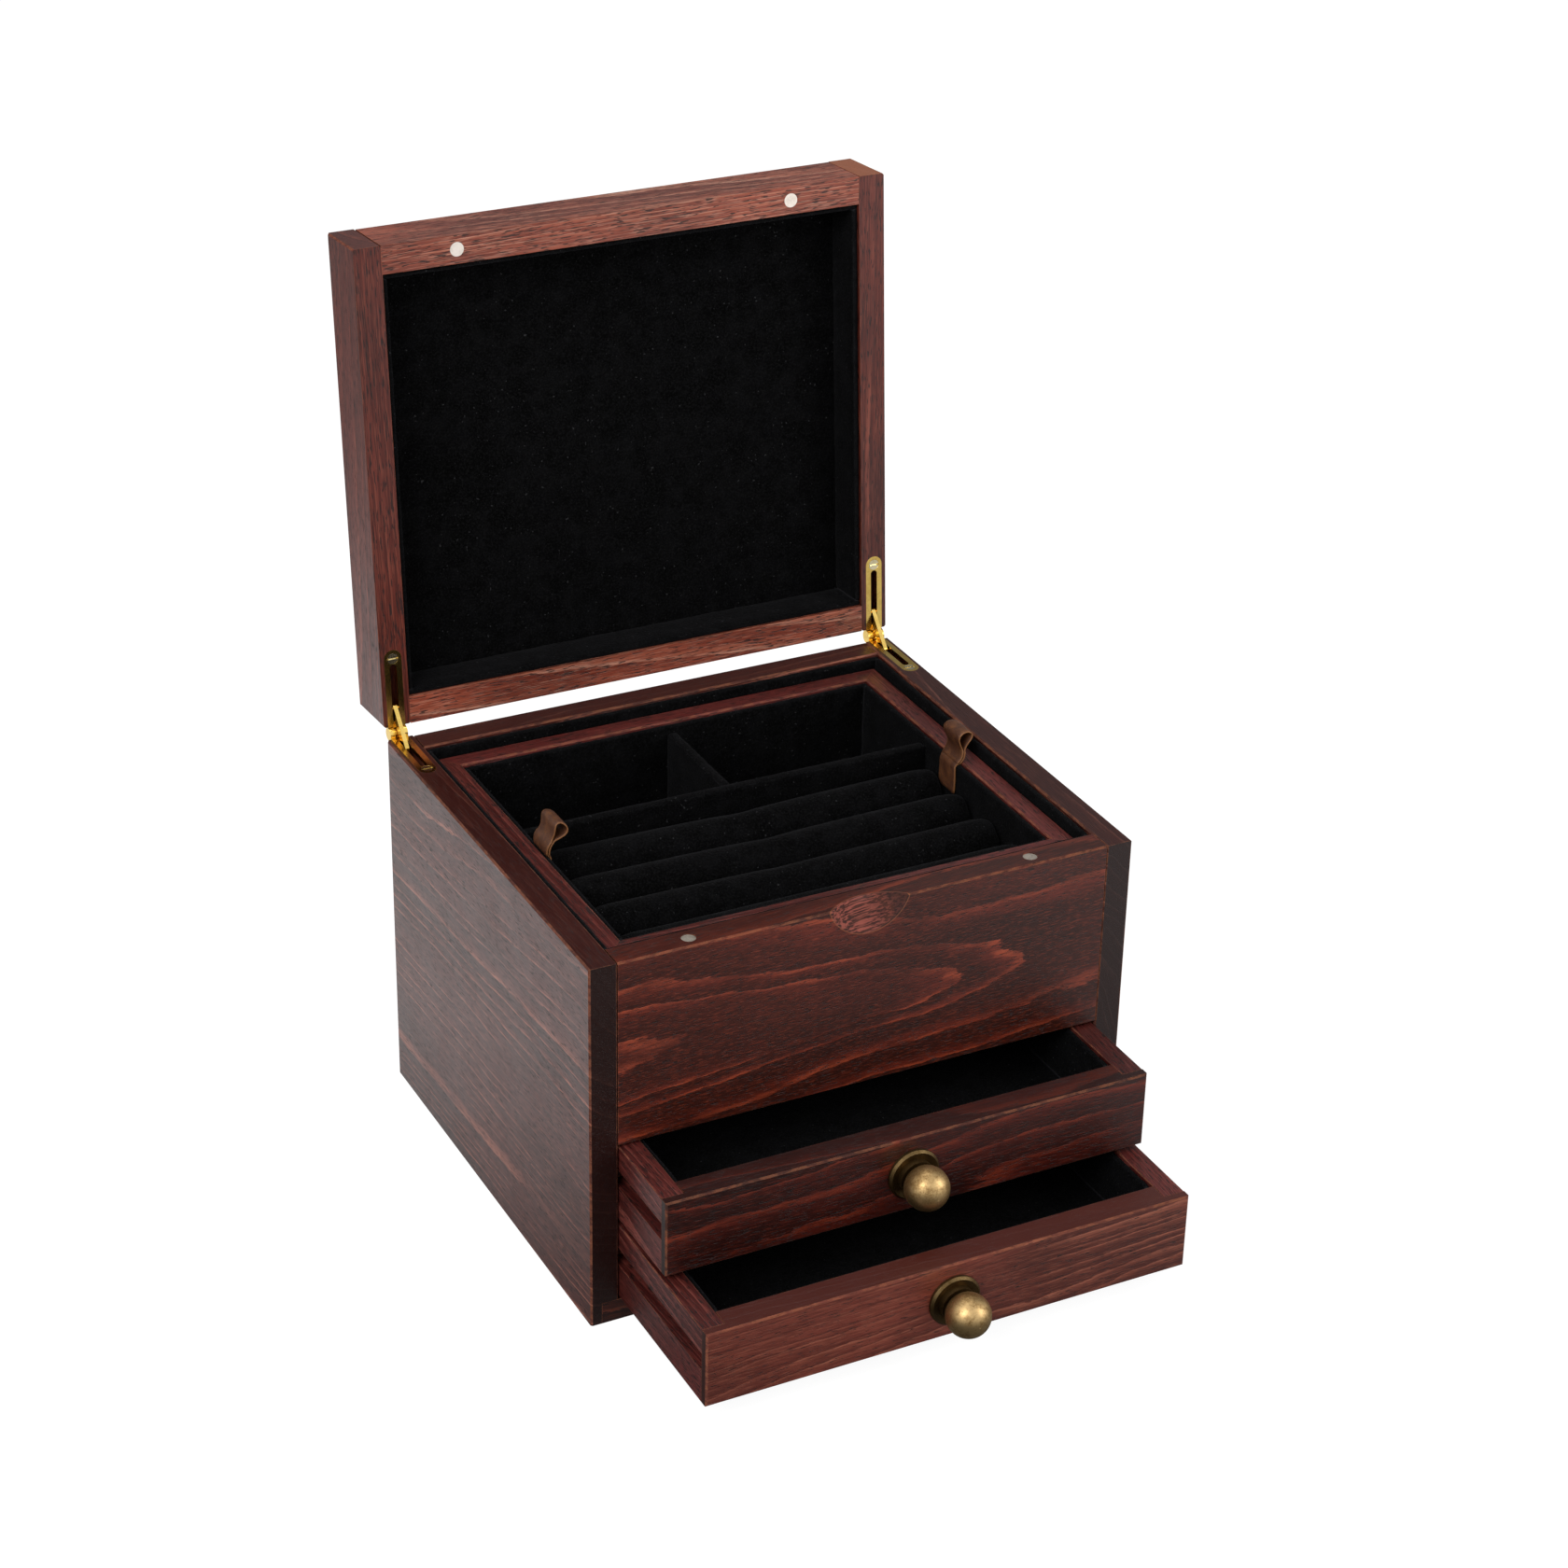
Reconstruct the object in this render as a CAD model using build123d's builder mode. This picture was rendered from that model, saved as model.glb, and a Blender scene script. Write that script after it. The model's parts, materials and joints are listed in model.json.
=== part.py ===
from build123d import *
import os
from math import cos, radians, sin, sqrt

# Jewellery chest with a stop-hinged lid, a lift-out tray and two drawers.
# Millimetres. The origin is the centre of the underside: +X right, -Y front, +Z up.
# The lid stands open on its stops and both drawers are pulled part of the way out.

os.makedirs("parts", exist_ok=True)

# Carcase: two full-height sides with the front, back, bottom and floor between them.
chest_width = 200.0
chest_depth = 172.5
chest_height = 137.5
board = 10.0
edge_ease = 0.6
half_width = chest_width / 2
front_y = -chest_depth / 2
back_y = chest_depth / 2
inner_half_width = half_width - board
bottom_thickness = 8.0
bottom_rabbet = 6.0
front_panel_foot = 69.1
floor_thickness = 4.0
floor_foot = 70.6
floor_groove = 3.0
lining = 2.0
floor_lining = 1.4
lining_reveal = 1.0

# Finger notch: a ball-nosed scoop out of the top of the front panel.
notch_radius = 21.5
notch_ahead = 15.5
notch_above = 4.3

# Magnets: discs let flush into the rim of the front panel and of the lid's front rail.
magnet_diameter = 5.0
magnet_thickness = 3.0
magnet_spread = 63.0
magnet_sunk = 0.3

# Lid: a frame of four rails with the top panel set in rabbets, open to its stop.
lid_height = 24.2
lid_gap = 0.3
lid_open_angle = 94.4
lid_top_thickness = 5.0
lid_rabbet = 5.0
lid_back_clear = 2.8

# Stop hinges: flat leaves in mortises, a rolled barrel and a stop link between them.
hinge_y = back_y + lid_back_clear
hinge_z = chest_height + 0.7
hinge_x = 95.2
leaf_width = 6.5
leaf_thickness = 1.6
leaf_reach = 31.45
barrel_radius = 2.4
pin_radius = 1.0
pin_play = 0.05
centre_knuckle = 2.5
knuckle_play = 0.15
barrel_clear = 0.3
hinge_screw_reach = 28.2
hinge_screw_head = 4.0
hinge_screw_head_play = 0.05
hinge_screw_shank = 2.0
hinge_screw_length = 9.0
hinge_screw_tip = 1.5
screw_slot = 0.6
link_pivot_reach = 9.0
link_pivot_depth = 1.5
link_length = 15.0
link_height = 3.0
link_thickness = 1.5
link_foot_sunk = 1.5
link_slot = 2.5
link_slot_near = 4.4
link_slot_far = 26.0
link_pocket_depth = 5.6
link_pocket_width = 4.7
rivet_radius = 0.6
rivet_play = 0.05
ear_thickness = 0.9
ear_length = 5.0
ear_height = 1.6

# Drawers: rabbeted fronts, grooved sides that run on strips fixed to the carcase.
drawer_width = 179.0
drawer_length = 158.0
drawer_height = 28.2
drawer_front_thickness = 10.0
drawer_front_lip = 3.3
drawer_side_thickness = 8.0
drawer_bottom_thickness = 3.0
drawer_bottom_foot = 2.4
drawer_bottom_groove = 3.0
drawer_groove_foot = 12.4
drawer_groove_height = 6.5
drawer_groove_depth = 4.0
runner_play = 0.5
runner_setback = 1.5
runner_round = 1.5
lower_drawer_foot = 8.8
upper_drawer_foot = 39.6
lower_drawer_out = 65.2
upper_drawer_out = 35.1

# Knobs: a ball on a collar and a dished rosette, held by a screw from inside.
ball_diameter = 15.3
ball_reach = 9.6
rosette_diameter = 18.6
rosette_thickness = 1.8
rosette_edge = 0.8
rosette_dish = 0.6
collar_diameter = 12.4
collar_reach = 3.6
neck_taper = 1.5
knob_screw_diameter = 4.0
knob_screw_depth = 7.0
knob_screw_head = 8.0
knob_screw_head_height = 2.2
knob_screw_end_clear = 0.5
knob_screw_slot = 1.0

# Tray: mitred walls round a bottom, with two back pockets and four ring rolls.
tray_width = 175.0
tray_depth = 147.5
tray_height = 57.0
tray_wall = 7.5
tray_foot = floor_foot + floor_thickness + floor_lining
tray_bottom_thickness = 3.0
tray_bottom_foot = 2.0
tray_bottom_groove = 3.0
divider_thickness = 4.0
divider_drop = 3.5
pocket_depth = 43.5
roll_count = 4
roll_drop = 6.0
roll_end_round = 4.0
roll_gap = 0.4

# Pull tabs: leather loops at the middle of the tray's short walls.
tab_width = 11.0
tab_notch = 11.8
tab_notch_depth = 12.0
tab_ply = 1.0
tab_clear = 0.4
tab_loop_radius = 2.5
tab_fold_radius = 0.1
tab_length = 15.0
tab_root_drop = 0.6
left_tab_lean = 24.0
right_tab_lean = 12.0
anchor_height = 8.6

lid_plane = Plane(
    origin=(0, hinge_y, hinge_z),
    x_dir=(1, 0, 0),
    z_dir=(0, sin(radians(lid_open_angle)), cos(radians(lid_open_angle))),
)
lid_underside = chest_height + lid_gap - hinge_z
rim_face = Plane((0, hinge_y, chest_height))
lid_face = Plane(
    origin=lid_plane.from_local_coords((0, 0, lid_underside)),
    x_dir=(1, 0, 0),
    z_dir=-lid_plane.z_dir,
)
lid_back_y = -lid_back_clear
lid_front_y = lid_back_y - chest_depth
lid_middle_y = (lid_back_y + lid_front_y) / 2


def keep(piece, name):
    """Label one finished piece and write it to its own file."""
    piece.part.label = name
    export_step(piece.part, f"parts/{name}.step")


def recess(plane, size, at, depth):
    """Inside a part block, sink a rectangular recess from a plane."""
    with BuildSketch(plane) as outline:
        with Locations(at):
            Rectangle(*size)
    extrude(outline.sketch, amount=depth, mode=Mode.SUBTRACT)


def plain_board(plane, size, at, thickness):
    """A board with square edges, standing on a plane."""
    with BuildPart() as piece:
        with BuildSketch(plane):
            with Locations(at):
                Rectangle(*size)
        extrude(amount=thickness)
    return piece


def lining_ring(plane, width, depth, height, thickness, middle):
    """Four lining cards standing round the inside of a rectangular well."""
    with BuildPart() as piece:
        with BuildSketch(plane):
            with Locations((middle[0], middle[1] - (depth - thickness) / 2)):
                Rectangle(width, thickness)
            with Locations((middle[0], middle[1] + (depth - thickness) / 2)):
                Rectangle(width, thickness)
        extrude(amount=height)
        with BuildSketch(plane):
            for hand in (-1, 1):
                with Locations((middle[0] + hand * (width - thickness) / 2, middle[1])):
                    Rectangle(thickness, depth - 2 * thickness)
        extrude(amount=height)
    return piece


# ---------------------------------------------------------------- carcase

def leaf_outline(face, hand, forward):
    """The plan of a hinge leaf on the face it lies in: straight, with a rounded far end."""
    far = leaf_reach - leaf_width / 2
    with BuildSketch(face) as outline:
        with Locations((hand * hinge_x, forward * far / 2)):
            Rectangle(leaf_width, far)
        with Locations((hand * hinge_x, forward * far)):
            Circle(leaf_width / 2)
    return outline.sketch


def slot_outline(face, hand, forward, width):
    """The plan of the slot that the stop link swings through."""
    middle = (link_slot_near + link_slot_far) / 2
    with BuildSketch(face) as outline:
        with Locations((hand * hinge_x, forward * middle)):
            SlotOverall(link_slot_far - link_slot_near, width, rotation=90)
    return outline.sketch


def house_hinge(face, hand, forward):
    """Inside a part block, cut the leaf's mortise, the link's pocket and the screw hole."""
    extrude(leaf_outline(face, hand, forward), amount=-leaf_thickness, mode=Mode.SUBTRACT)
    extrude(slot_outline(face, hand, forward, link_pocket_width), amount=-link_pocket_depth,
            mode=Mode.SUBTRACT)
    foot = face.from_local_coords((hand * hinge_x, forward * hinge_screw_reach, 0))
    with Locations(Plane(origin=foot, x_dir=face.x_dir, z_dir=face.z_dir)):
        Hole(hinge_screw_shank / 2, hinge_screw_length)


def side_panel(hand):
    """One full-height side, rabbeted for the bottom and grooved for the floor."""
    with BuildPart() as piece:
        with BuildSketch():
            with Locations((hand * (half_width - board / 2), 0)):
                Rectangle(board, chest_depth)
        extrude(amount=chest_height)
        chamfer(piece.edges().filter_by(Axis.Z), edge_ease)
        chamfer(piece.faces().sort_by(Axis.Z)[-1].edges().filter_by(Axis.Y), edge_ease)
        inside = hand * inner_half_width
        recess(Plane.XY, (bottom_rabbet, chest_depth), (inside + hand * bottom_rabbet / 2, 0),
               bottom_thickness)
        recess(Plane.XY.offset(floor_foot), (floor_groove, chest_depth - 2 * (board - floor_groove)),
               (inside + hand * floor_groove / 2, 0), floor_thickness)
        house_hinge(rim_face, hand, -1)
    return piece


def magnet_places(y):
    """The two magnet centres in a rim, given across it."""
    return [(-magnet_spread, y), (magnet_spread, y)]


side_panel_left = side_panel(-1)
keep(side_panel_left, "side_panel_left")
side_panel_right = side_panel(1)
keep(side_panel_right, "side_panel_right")

with BuildPart() as front_panel:
    with BuildSketch(Plane.XY.offset(front_panel_foot)):
        with Locations((0, front_y + board / 2)):
            Rectangle(2 * inner_half_width, board)
    extrude(amount=chest_height - front_panel_foot)
    chamfer(front_panel.faces().sort_by(Axis.Z)[-1].edges().filter_by(Axis.X), edge_ease)
    recess(Plane.XY.offset(floor_foot), (2 * inner_half_width, floor_groove),
           (0, front_y + board - floor_groove / 2), floor_thickness)
    with Locations((0, front_y - notch_ahead, chest_height + notch_above)):
        Sphere(notch_radius, mode=Mode.SUBTRACT)
    with BuildSketch(Plane.XY.offset(chest_height)):
        with Locations(*magnet_places(front_y + board / 2)):
            Circle(magnet_diameter / 2)
    extrude(amount=-magnet_thickness - magnet_sunk, mode=Mode.SUBTRACT)
keep(front_panel, "front_panel")

with BuildPart() as back_panel:
    with BuildSketch(Plane.XY.offset(bottom_thickness)):
        with Locations((0, back_y - board / 2)):
            Rectangle(2 * inner_half_width, board)
    extrude(amount=chest_height - bottom_thickness)
    chamfer(back_panel.faces().sort_by(Axis.Z)[-1].edges().filter_by(Axis.X), edge_ease)
    recess(Plane.XY.offset(floor_foot), (2 * inner_half_width, floor_groove),
           (0, back_y - board + floor_groove / 2), floor_thickness)
keep(back_panel, "back_panel")

bottom_board = plain_board(
    Plane.XY, (2 * (inner_half_width + bottom_rabbet), chest_depth), (0, 0), bottom_thickness)
keep(bottom_board, "bottom_board")

compartment_floor = plain_board(
    Plane.XY.offset(floor_foot),
    (2 * (inner_half_width + floor_groove), chest_depth - 2 * (board - floor_groove)),
    (0, 0), floor_thickness)
keep(compartment_floor, "compartment_floor")

compartment_lining_floor = plain_board(
    Plane.XY.offset(floor_foot + floor_thickness),
    (2 * inner_half_width, chest_depth - 2 * board), (0, 0), floor_lining)
keep(compartment_lining_floor, "compartment_lining_floor")

compartment_lining_walls = lining_ring(
    Plane.XY.offset(tray_foot), 2 * inner_half_width, chest_depth - 2 * board,
    chest_height - lining_reveal - tray_foot, lining, (0, 0))
keep(compartment_lining_walls, "compartment_lining_walls")

# Four strips glued and pinned to the sides, which the drawers' grooves run on.
with BuildPart() as drawer_runners:
    runner_start = front_y + drawer_front_lip + runner_setback
    runner_end = back_y - board
    runner_height = drawer_groove_height - 2 * runner_play
    runner_depth = inner_half_width - drawer_width / 2 + drawer_groove_depth - runner_play
    for hand in (-1, 1):
        for foot in (lower_drawer_foot, upper_drawer_foot):
            middle_z = foot + drawer_groove_foot + drawer_groove_height / 2
            with BuildSketch(Plane.YZ.offset(hand * inner_half_width)):
                with Locations(((runner_start + runner_end) / 2, middle_z)):
                    RectangleRounded(runner_end - runner_start, runner_height, runner_round)
            extrude(amount=-hand * runner_depth)
keep(drawer_runners, "drawer_runners")

with BuildPart() as chest_magnets:
    with BuildSketch(Plane.XY.offset(chest_height - magnet_sunk)):
        with Locations(*magnet_places(front_y + board / 2)):
            Circle(magnet_diameter / 2)
    extrude(amount=-magnet_thickness)
keep(chest_magnets, "chest_magnets")


# ---------------------------------------------------------------- hinges

def barrel_plane(hand, across=0):
    """A plane square to the hinge axis, at a distance across the leaf."""
    return Plane(origin=(hand * hinge_x + across, hinge_y, hinge_z), x_dir=(0, 1, 0), z_dir=(1, 0, 0))


def disc(plane, radius):
    """A round outline on a plane."""
    with BuildSketch(plane) as outline:
        Circle(radius)
    return outline.sketch


def hinge_leaf(face, hand, forward, knuckles, gaps, bore_radius):
    """A flat leaf with its share of the barrel, the link's slot and a countersunk hole."""
    with BuildPart() as piece:
        extrude(leaf_outline(face, hand, forward), amount=-leaf_thickness)
        for near, far in knuckles:
            extrude(disc(barrel_plane(hand, near), barrel_radius), amount=far - near)
        for near, far in gaps:
            extrude(disc(barrel_plane(hand, near), barrel_radius + barrel_clear), amount=far - near,
                    mode=Mode.SUBTRACT)
        extrude(disc(barrel_plane(hand), bore_radius), amount=leaf_width, both=True,
                mode=Mode.SUBTRACT)
        extrude(slot_outline(face, hand, forward, link_slot), amount=-leaf_thickness,
                mode=Mode.SUBTRACT)
        foot = face.from_local_coords((hand * hinge_x, forward * hinge_screw_reach, 0))
        with Locations(Plane(origin=foot, x_dir=face.x_dir, z_dir=face.z_dir)):
            CounterSinkHole(hinge_screw_shank / 2, hinge_screw_head / 2, leaf_thickness)
    return piece


def lower_leaf(hand):
    """The leaf in the side panel's rim, which carries the two outer knuckles."""
    outer = leaf_width / 2
    inner = centre_knuckle / 2 + knuckle_play
    knuckles = ((-outer, -inner), (inner, outer))
    return hinge_leaf(rim_face, hand, -1, knuckles, ((-inner, inner),), pin_radius)


def link_pivot(hand):
    """The centre of the rivet that the stop link turns on, in the lid's pocket."""
    return lid_face.from_local_coords((hand * hinge_x, link_pivot_reach, -link_pivot_depth))


def upper_leaf(hand):
    """The leaf in the lid's side rail: the centre knuckle, and two ears for the rivet."""
    outer = centre_knuckle / 2
    end = leaf_width / 2 + knuckle_play
    gaps = ((-end, -outer), (outer, end))
    leaf = hinge_leaf(lid_face, hand, 1, ((-outer, outer),), gaps, pin_radius + pin_play)
    with BuildPart() as piece:
        add(leaf.part)
        with BuildSketch(lid_face) as ears:
            for across in (-1, 1):
                with Locations((hand * hinge_x + across * (link_slot + ear_thickness) / 2,
                                link_pivot_reach)):
                    Rectangle(ear_thickness, ear_length)
        extrude(ears.sketch, amount=-leaf_thickness - ear_height)
        pivot = link_pivot(hand)
        extrude(disc(Plane(origin=pivot, x_dir=(0, 1, 0), z_dir=(1, 0, 0)), rivet_radius),
                amount=leaf_width, both=True, mode=Mode.SUBTRACT)
    return piece


def hinge_screws(face, forward):
    """A pair of countersunk screws, one in each leaf, their slotted heads flush with the face."""
    head = hinge_screw_head / 2 - hinge_screw_head_play
    shank = hinge_screw_shank / 2
    with BuildPart() as piece:
        for hand in (-1, 1):
            foot = face.from_local_coords((hand * hinge_x, forward * hinge_screw_reach, 0))
            axis_plane = Plane(origin=foot, x_dir=face.x_dir, z_dir=-face.y_dir)
            with BuildSketch(axis_plane) as profile:
                with BuildLine():
                    Polyline((0, 0), (head, 0), (shank, shank - head),
                             (shank, hinge_screw_tip - hinge_screw_length),
                             (0, -hinge_screw_length), (0, 0))
                make_face()
            revolve(profile.sketch, axis=Axis(axis_plane.origin, axis_plane.y_dir))
            recess(Plane(origin=foot, x_dir=face.x_dir, z_dir=face.z_dir),
                   (2 * head, screw_slot), (0, 0), -screw_slot)
    return piece


def stop_link(hand):
    """The strip that checks the lid: riveted to the upper leaf, its foot in the lower slot."""
    pivot = link_pivot(hand)
    drop = pivot.Z - (chest_height - link_foot_sunk)
    forward = sqrt(link_length**2 - drop**2)
    with BuildPart() as piece:
        with BuildSketch(Plane(origin=pivot, x_dir=(0, -forward, -drop), z_dir=(1, 0, 0))):
            with Locations((link_length / 2, 0)):
                SlotCenterToCenter(link_length, link_height)
            Circle(rivet_radius + rivet_play, mode=Mode.SUBTRACT)
        extrude(amount=link_thickness / 2, both=True)
    return piece


for hand, side in ((-1, "left"), (1, "right")):
    keep(lower_leaf(hand), f"hinge_leaf_lower_{side}")
    keep(upper_leaf(hand), f"hinge_leaf_upper_{side}")
    keep(stop_link(hand), f"hinge_stop_link_{side}")
keep(hinge_screws(rim_face, -1), "hinge_screws_lower")
keep(hinge_screws(lid_face, 1), "hinge_screws_upper")

with BuildPart() as hinge_pins:
    for hand in (-1, 1):
        extrude(disc(barrel_plane(hand), pin_radius), amount=leaf_width / 2, both=True)
keep(hinge_pins, "hinge_pins")

with BuildPart() as hinge_link_rivets:
    for hand in (-1, 1):
        pivot = link_pivot(hand)
        extrude(disc(Plane(origin=pivot, x_dir=(0, 1, 0), z_dir=(1, 0, 0)), rivet_radius),
                amount=link_slot / 2 + ear_thickness, both=True)
keep(hinge_link_rivets, "hinge_link_rivets")


# ---------------------------------------------------------------- lid

lid_top = lid_underside + lid_height
lid_panel_foot = lid_top - lid_top_thickness


def lid_side_rail(hand):
    """A side rail over the full depth of the lid, rabbeted for the top and let in for the hinge."""
    with BuildPart() as piece:
        with BuildSketch(lid_plane.offset(lid_underside)):
            with Locations((hand * (half_width - board / 2), lid_middle_y)):
                Rectangle(board, chest_depth)
        extrude(amount=lid_height)
        outer_corners = piece.edges().filter_by(Axis(lid_plane.origin, lid_plane.z_dir))
        chamfer(outer_corners, edge_ease)
        ends = piece.faces().sort_by(Axis(lid_plane.origin, lid_plane.z_dir))
        chamfer(ends[-1].edges().filter_by(Axis(lid_plane.origin, lid_plane.y_dir)), edge_ease)
        recess(lid_plane.offset(lid_panel_foot), (lid_rabbet, chest_depth - 2 * lid_rabbet),
               (hand * (inner_half_width + lid_rabbet / 2), lid_middle_y), lid_top_thickness)
        house_hinge(lid_face, hand, 1)
    return piece


def lid_cross_rail(end):
    """A rail between the side rails; end is -1 at the front of the lid and +1 at the back."""
    middle_y = lid_middle_y + end * (chest_depth - board) / 2
    with BuildPart() as piece:
        with BuildSketch(lid_plane.offset(lid_underside)):
            with Locations((0, middle_y)):
                Rectangle(2 * inner_half_width, board)
        extrude(amount=lid_height)
        top = piece.faces().sort_by(Axis(lid_plane.origin, lid_plane.z_dir))[-1]
        along = top.edges().filter_by(Axis.X)
        chamfer(along.sort_by(Axis(lid_plane.origin, end * lid_plane.y_dir))[-1], edge_ease)
        recess(lid_plane.offset(lid_panel_foot), (2 * inner_half_width, lid_rabbet),
               (0, middle_y - end * (board - lid_rabbet) / 2), lid_top_thickness)
        if end < 0:
            with BuildSketch(lid_plane.offset(lid_underside)) as holes:
                with Locations(*magnet_places(middle_y)):
                    Circle(magnet_diameter / 2)
            extrude(holes.sketch, amount=magnet_thickness, mode=Mode.SUBTRACT)
    return piece


keep(lid_side_rail(-1), "lid_rail_left")
keep(lid_side_rail(1), "lid_rail_right")
keep(lid_cross_rail(-1), "lid_rail_front")
keep(lid_cross_rail(1), "lid_rail_back")

lid_top_panel = plain_board(
    lid_plane.offset(lid_panel_foot),
    (2 * (inner_half_width + lid_rabbet), chest_depth - 2 * lid_rabbet),
    (0, lid_middle_y), lid_top_thickness)
keep(lid_top_panel, "lid_top_panel")

lid_lining_panel = plain_board(
    lid_plane.offset(lid_panel_foot - lining), (2 * inner_half_width, chest_depth - 2 * board),
    (0, lid_middle_y), lining)
keep(lid_lining_panel, "lid_lining_panel")

lid_lining_walls = lining_ring(
    lid_plane.offset(lid_underside + lining_reveal), 2 * inner_half_width,
    chest_depth - 2 * board, lid_panel_foot - lining - lid_underside - lining_reveal, lining,
    (0, lid_middle_y))
keep(lid_lining_walls, "lid_lining_walls")

with BuildPart() as lid_magnets:
    with BuildSketch(lid_plane.offset(lid_underside)):
        with Locations(*magnet_places(lid_front_y + board / 2)):
            Circle(magnet_diameter / 2)
    extrude(amount=magnet_thickness)
keep(lid_magnets, "lid_magnets")


# ---------------------------------------------------------------- tray

tray_rim = tray_foot + tray_height
tray_inner_half_width = tray_width / 2 - tray_wall
tray_inner_half_depth = tray_depth / 2 - tray_wall
tray_well_foot = tray_foot + tray_bottom_foot + tray_bottom_thickness
tray_cloth_foot = tray_well_foot + floor_lining
tray_half_cloth_width = tray_inner_half_width - lining
tray_half_cloth_depth = tray_inner_half_depth - lining
divider_y = tray_half_cloth_depth - pocket_depth - divider_thickness / 2
roll_field = tray_half_cloth_depth + divider_y - divider_thickness / 2
roll_pitch = roll_field / roll_count


def tray_side(length, span, turn):
    """One tray wall with mitred ends, grooved inside for the bottom; turn places it."""
    outer = span / 2
    with BuildPart() as piece:
        with BuildSketch(Plane.XY.offset(tray_foot).rotated((0, 0, turn))) as plan:
            with BuildLine():
                Polyline((-length / 2, -outer), (length / 2, -outer),
                         (length / 2 - tray_wall, tray_wall - outer),
                         (tray_wall - length / 2, tray_wall - outer), (-length / 2, -outer))
            make_face()
        extrude(amount=tray_height)
        across = Axis(Plane.XY.rotated((0, 0, turn)).origin, Plane.XY.rotated((0, 0, turn)).y_dir)
        rims = piece.faces().sort_by(Axis.Z)[-1].edges().sort_by(across)
        chamfer((rims[0], rims[-1]), edge_ease)
        recess(Plane.XY.offset(tray_foot + tray_bottom_foot).rotated((0, 0, turn)),
               (length - 2 * (tray_wall - tray_bottom_groove), tray_bottom_groove),
               (0, tray_wall - outer - tray_bottom_groove / 2), tray_bottom_thickness)
    return piece


keep(tray_side(tray_width, tray_depth, 0), "tray_wall_front")
keep(tray_side(tray_depth, tray_width, 90), "tray_wall_right")
keep(tray_side(tray_width, tray_depth, 180), "tray_wall_back")
keep(tray_side(tray_depth, tray_width, 270), "tray_wall_left")

tray_bottom = plain_board(
    Plane.XY.offset(tray_foot + tray_bottom_foot),
    (2 * (tray_inner_half_width + tray_bottom_groove),
     2 * (tray_inner_half_depth + tray_bottom_groove)), (0, 0), tray_bottom_thickness)
keep(tray_bottom, "tray_bottom")

tray_lining_floor = plain_board(
    Plane.XY.offset(tray_well_foot), (2 * tray_inner_half_width, 2 * tray_inner_half_depth),
    (0, 0), floor_lining)
keep(tray_lining_floor, "tray_lining_floor")

with BuildPart() as tray_lining_walls:
    add(lining_ring(Plane.XY.offset(tray_cloth_foot), 2 * tray_inner_half_width,
                    2 * tray_inner_half_depth, tray_rim - lining_reveal - tray_cloth_foot,
                    lining, (0, 0)).part)
    with BuildSketch(Plane.XY.offset(tray_rim)) as notches:
        for hand in (-1, 1):
            with Locations((hand * (tray_inner_half_width - lining / 2), 0)):
                Rectangle(lining, tab_notch)
    extrude(notches.sketch, amount=-tab_notch_depth, mode=Mode.SUBTRACT)
keep(tray_lining_walls, "tray_lining_walls")

divider_height = tray_rim - divider_drop - tray_cloth_foot
tray_divider_long = plain_board(
    Plane.XY.offset(tray_cloth_foot), (2 * tray_half_cloth_width, divider_thickness),
    (0, divider_y), divider_height)
keep(tray_divider_long, "tray_divider_long")
tray_divider_short = plain_board(
    Plane.XY.offset(tray_cloth_foot), (divider_thickness, pocket_depth),
    (0, tray_half_cloth_depth - pocket_depth / 2), divider_height)
keep(tray_divider_short, "tray_divider_short")

# Foam ring rolls: straight flanks under a half-round top, with softened ends.
for number in range(roll_count):
    roll_radius = (roll_pitch - roll_gap) / 2
    roll_y = divider_y - divider_thickness / 2 - (number + 0.5) * roll_pitch
    roll_flank = tray_rim - roll_drop - roll_radius - tray_cloth_foot
    roll_half_length = tray_half_cloth_width - roll_gap
    with BuildPart() as ring_roll:
        with BuildSketch(Plane.YZ.offset(-roll_half_length)):
            with Locations((roll_y, tray_cloth_foot + roll_flank / 2)):
                Rectangle(2 * roll_radius, roll_flank)
            with Locations((roll_y, tray_cloth_foot + roll_flank)):
                Circle(roll_radius)
        extrude(amount=2 * roll_half_length)
        for end in (ring_roll.faces().sort_by(Axis.X)[0], ring_roll.faces().sort_by(Axis.X)[-1]):
            chamfer(end.edges().filter_by(GeomType.CIRCLE), roll_end_round)
    keep(ring_roll, f"ring_roll_{number + 1}")

with BuildPart() as pull_tab_anchors:
    with BuildSketch(Plane.XY.offset(tray_rim - tab_notch_depth)):
        for hand in (-1, 1):
            with Locations((hand * (tray_inner_half_width - lining / 2), 0)):
                Rectangle(lining, tab_notch)
    extrude(amount=anchor_height)
keep(pull_tab_anchors, "pull_tab_anchors")


def pull_tab(hand, lean):
    """A leather loop standing in a notch in the lining; lean is from upright towards +X."""
    root = (hand * (tray_inner_half_width - tab_ply - tab_clear), 0, tray_rim - tab_root_drop)
    across = (cos(radians(lean)), 0, -sin(radians(lean)))
    top = tab_length - tab_loop_radius
    with BuildPart() as piece:
        with BuildSketch(Plane(origin=root, x_dir=across, z_dir=(0, -1, 0))):
            with BuildSketch(mode=Mode.PRIVATE) as outer:
                Circle(tab_ply)
                with Locations((0, top)):
                    Circle(tab_loop_radius)
                make_hull()
            with BuildSketch(mode=Mode.PRIVATE) as inner:
                with Locations((0, 2 * tab_ply)):
                    Circle(tab_fold_radius)
                with Locations((0, top)):
                    Circle(tab_loop_radius - tab_ply)
                make_hull()
            add(outer.sketch)
            add(inner.sketch, mode=Mode.SUBTRACT)
        extrude(amount=tab_width / 2, both=True)
    return piece


keep(pull_tab(-1, left_tab_lean), "pull_tab_left")
keep(pull_tab(1, right_tab_lean), "pull_tab_right")


# ---------------------------------------------------------------- drawers

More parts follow.
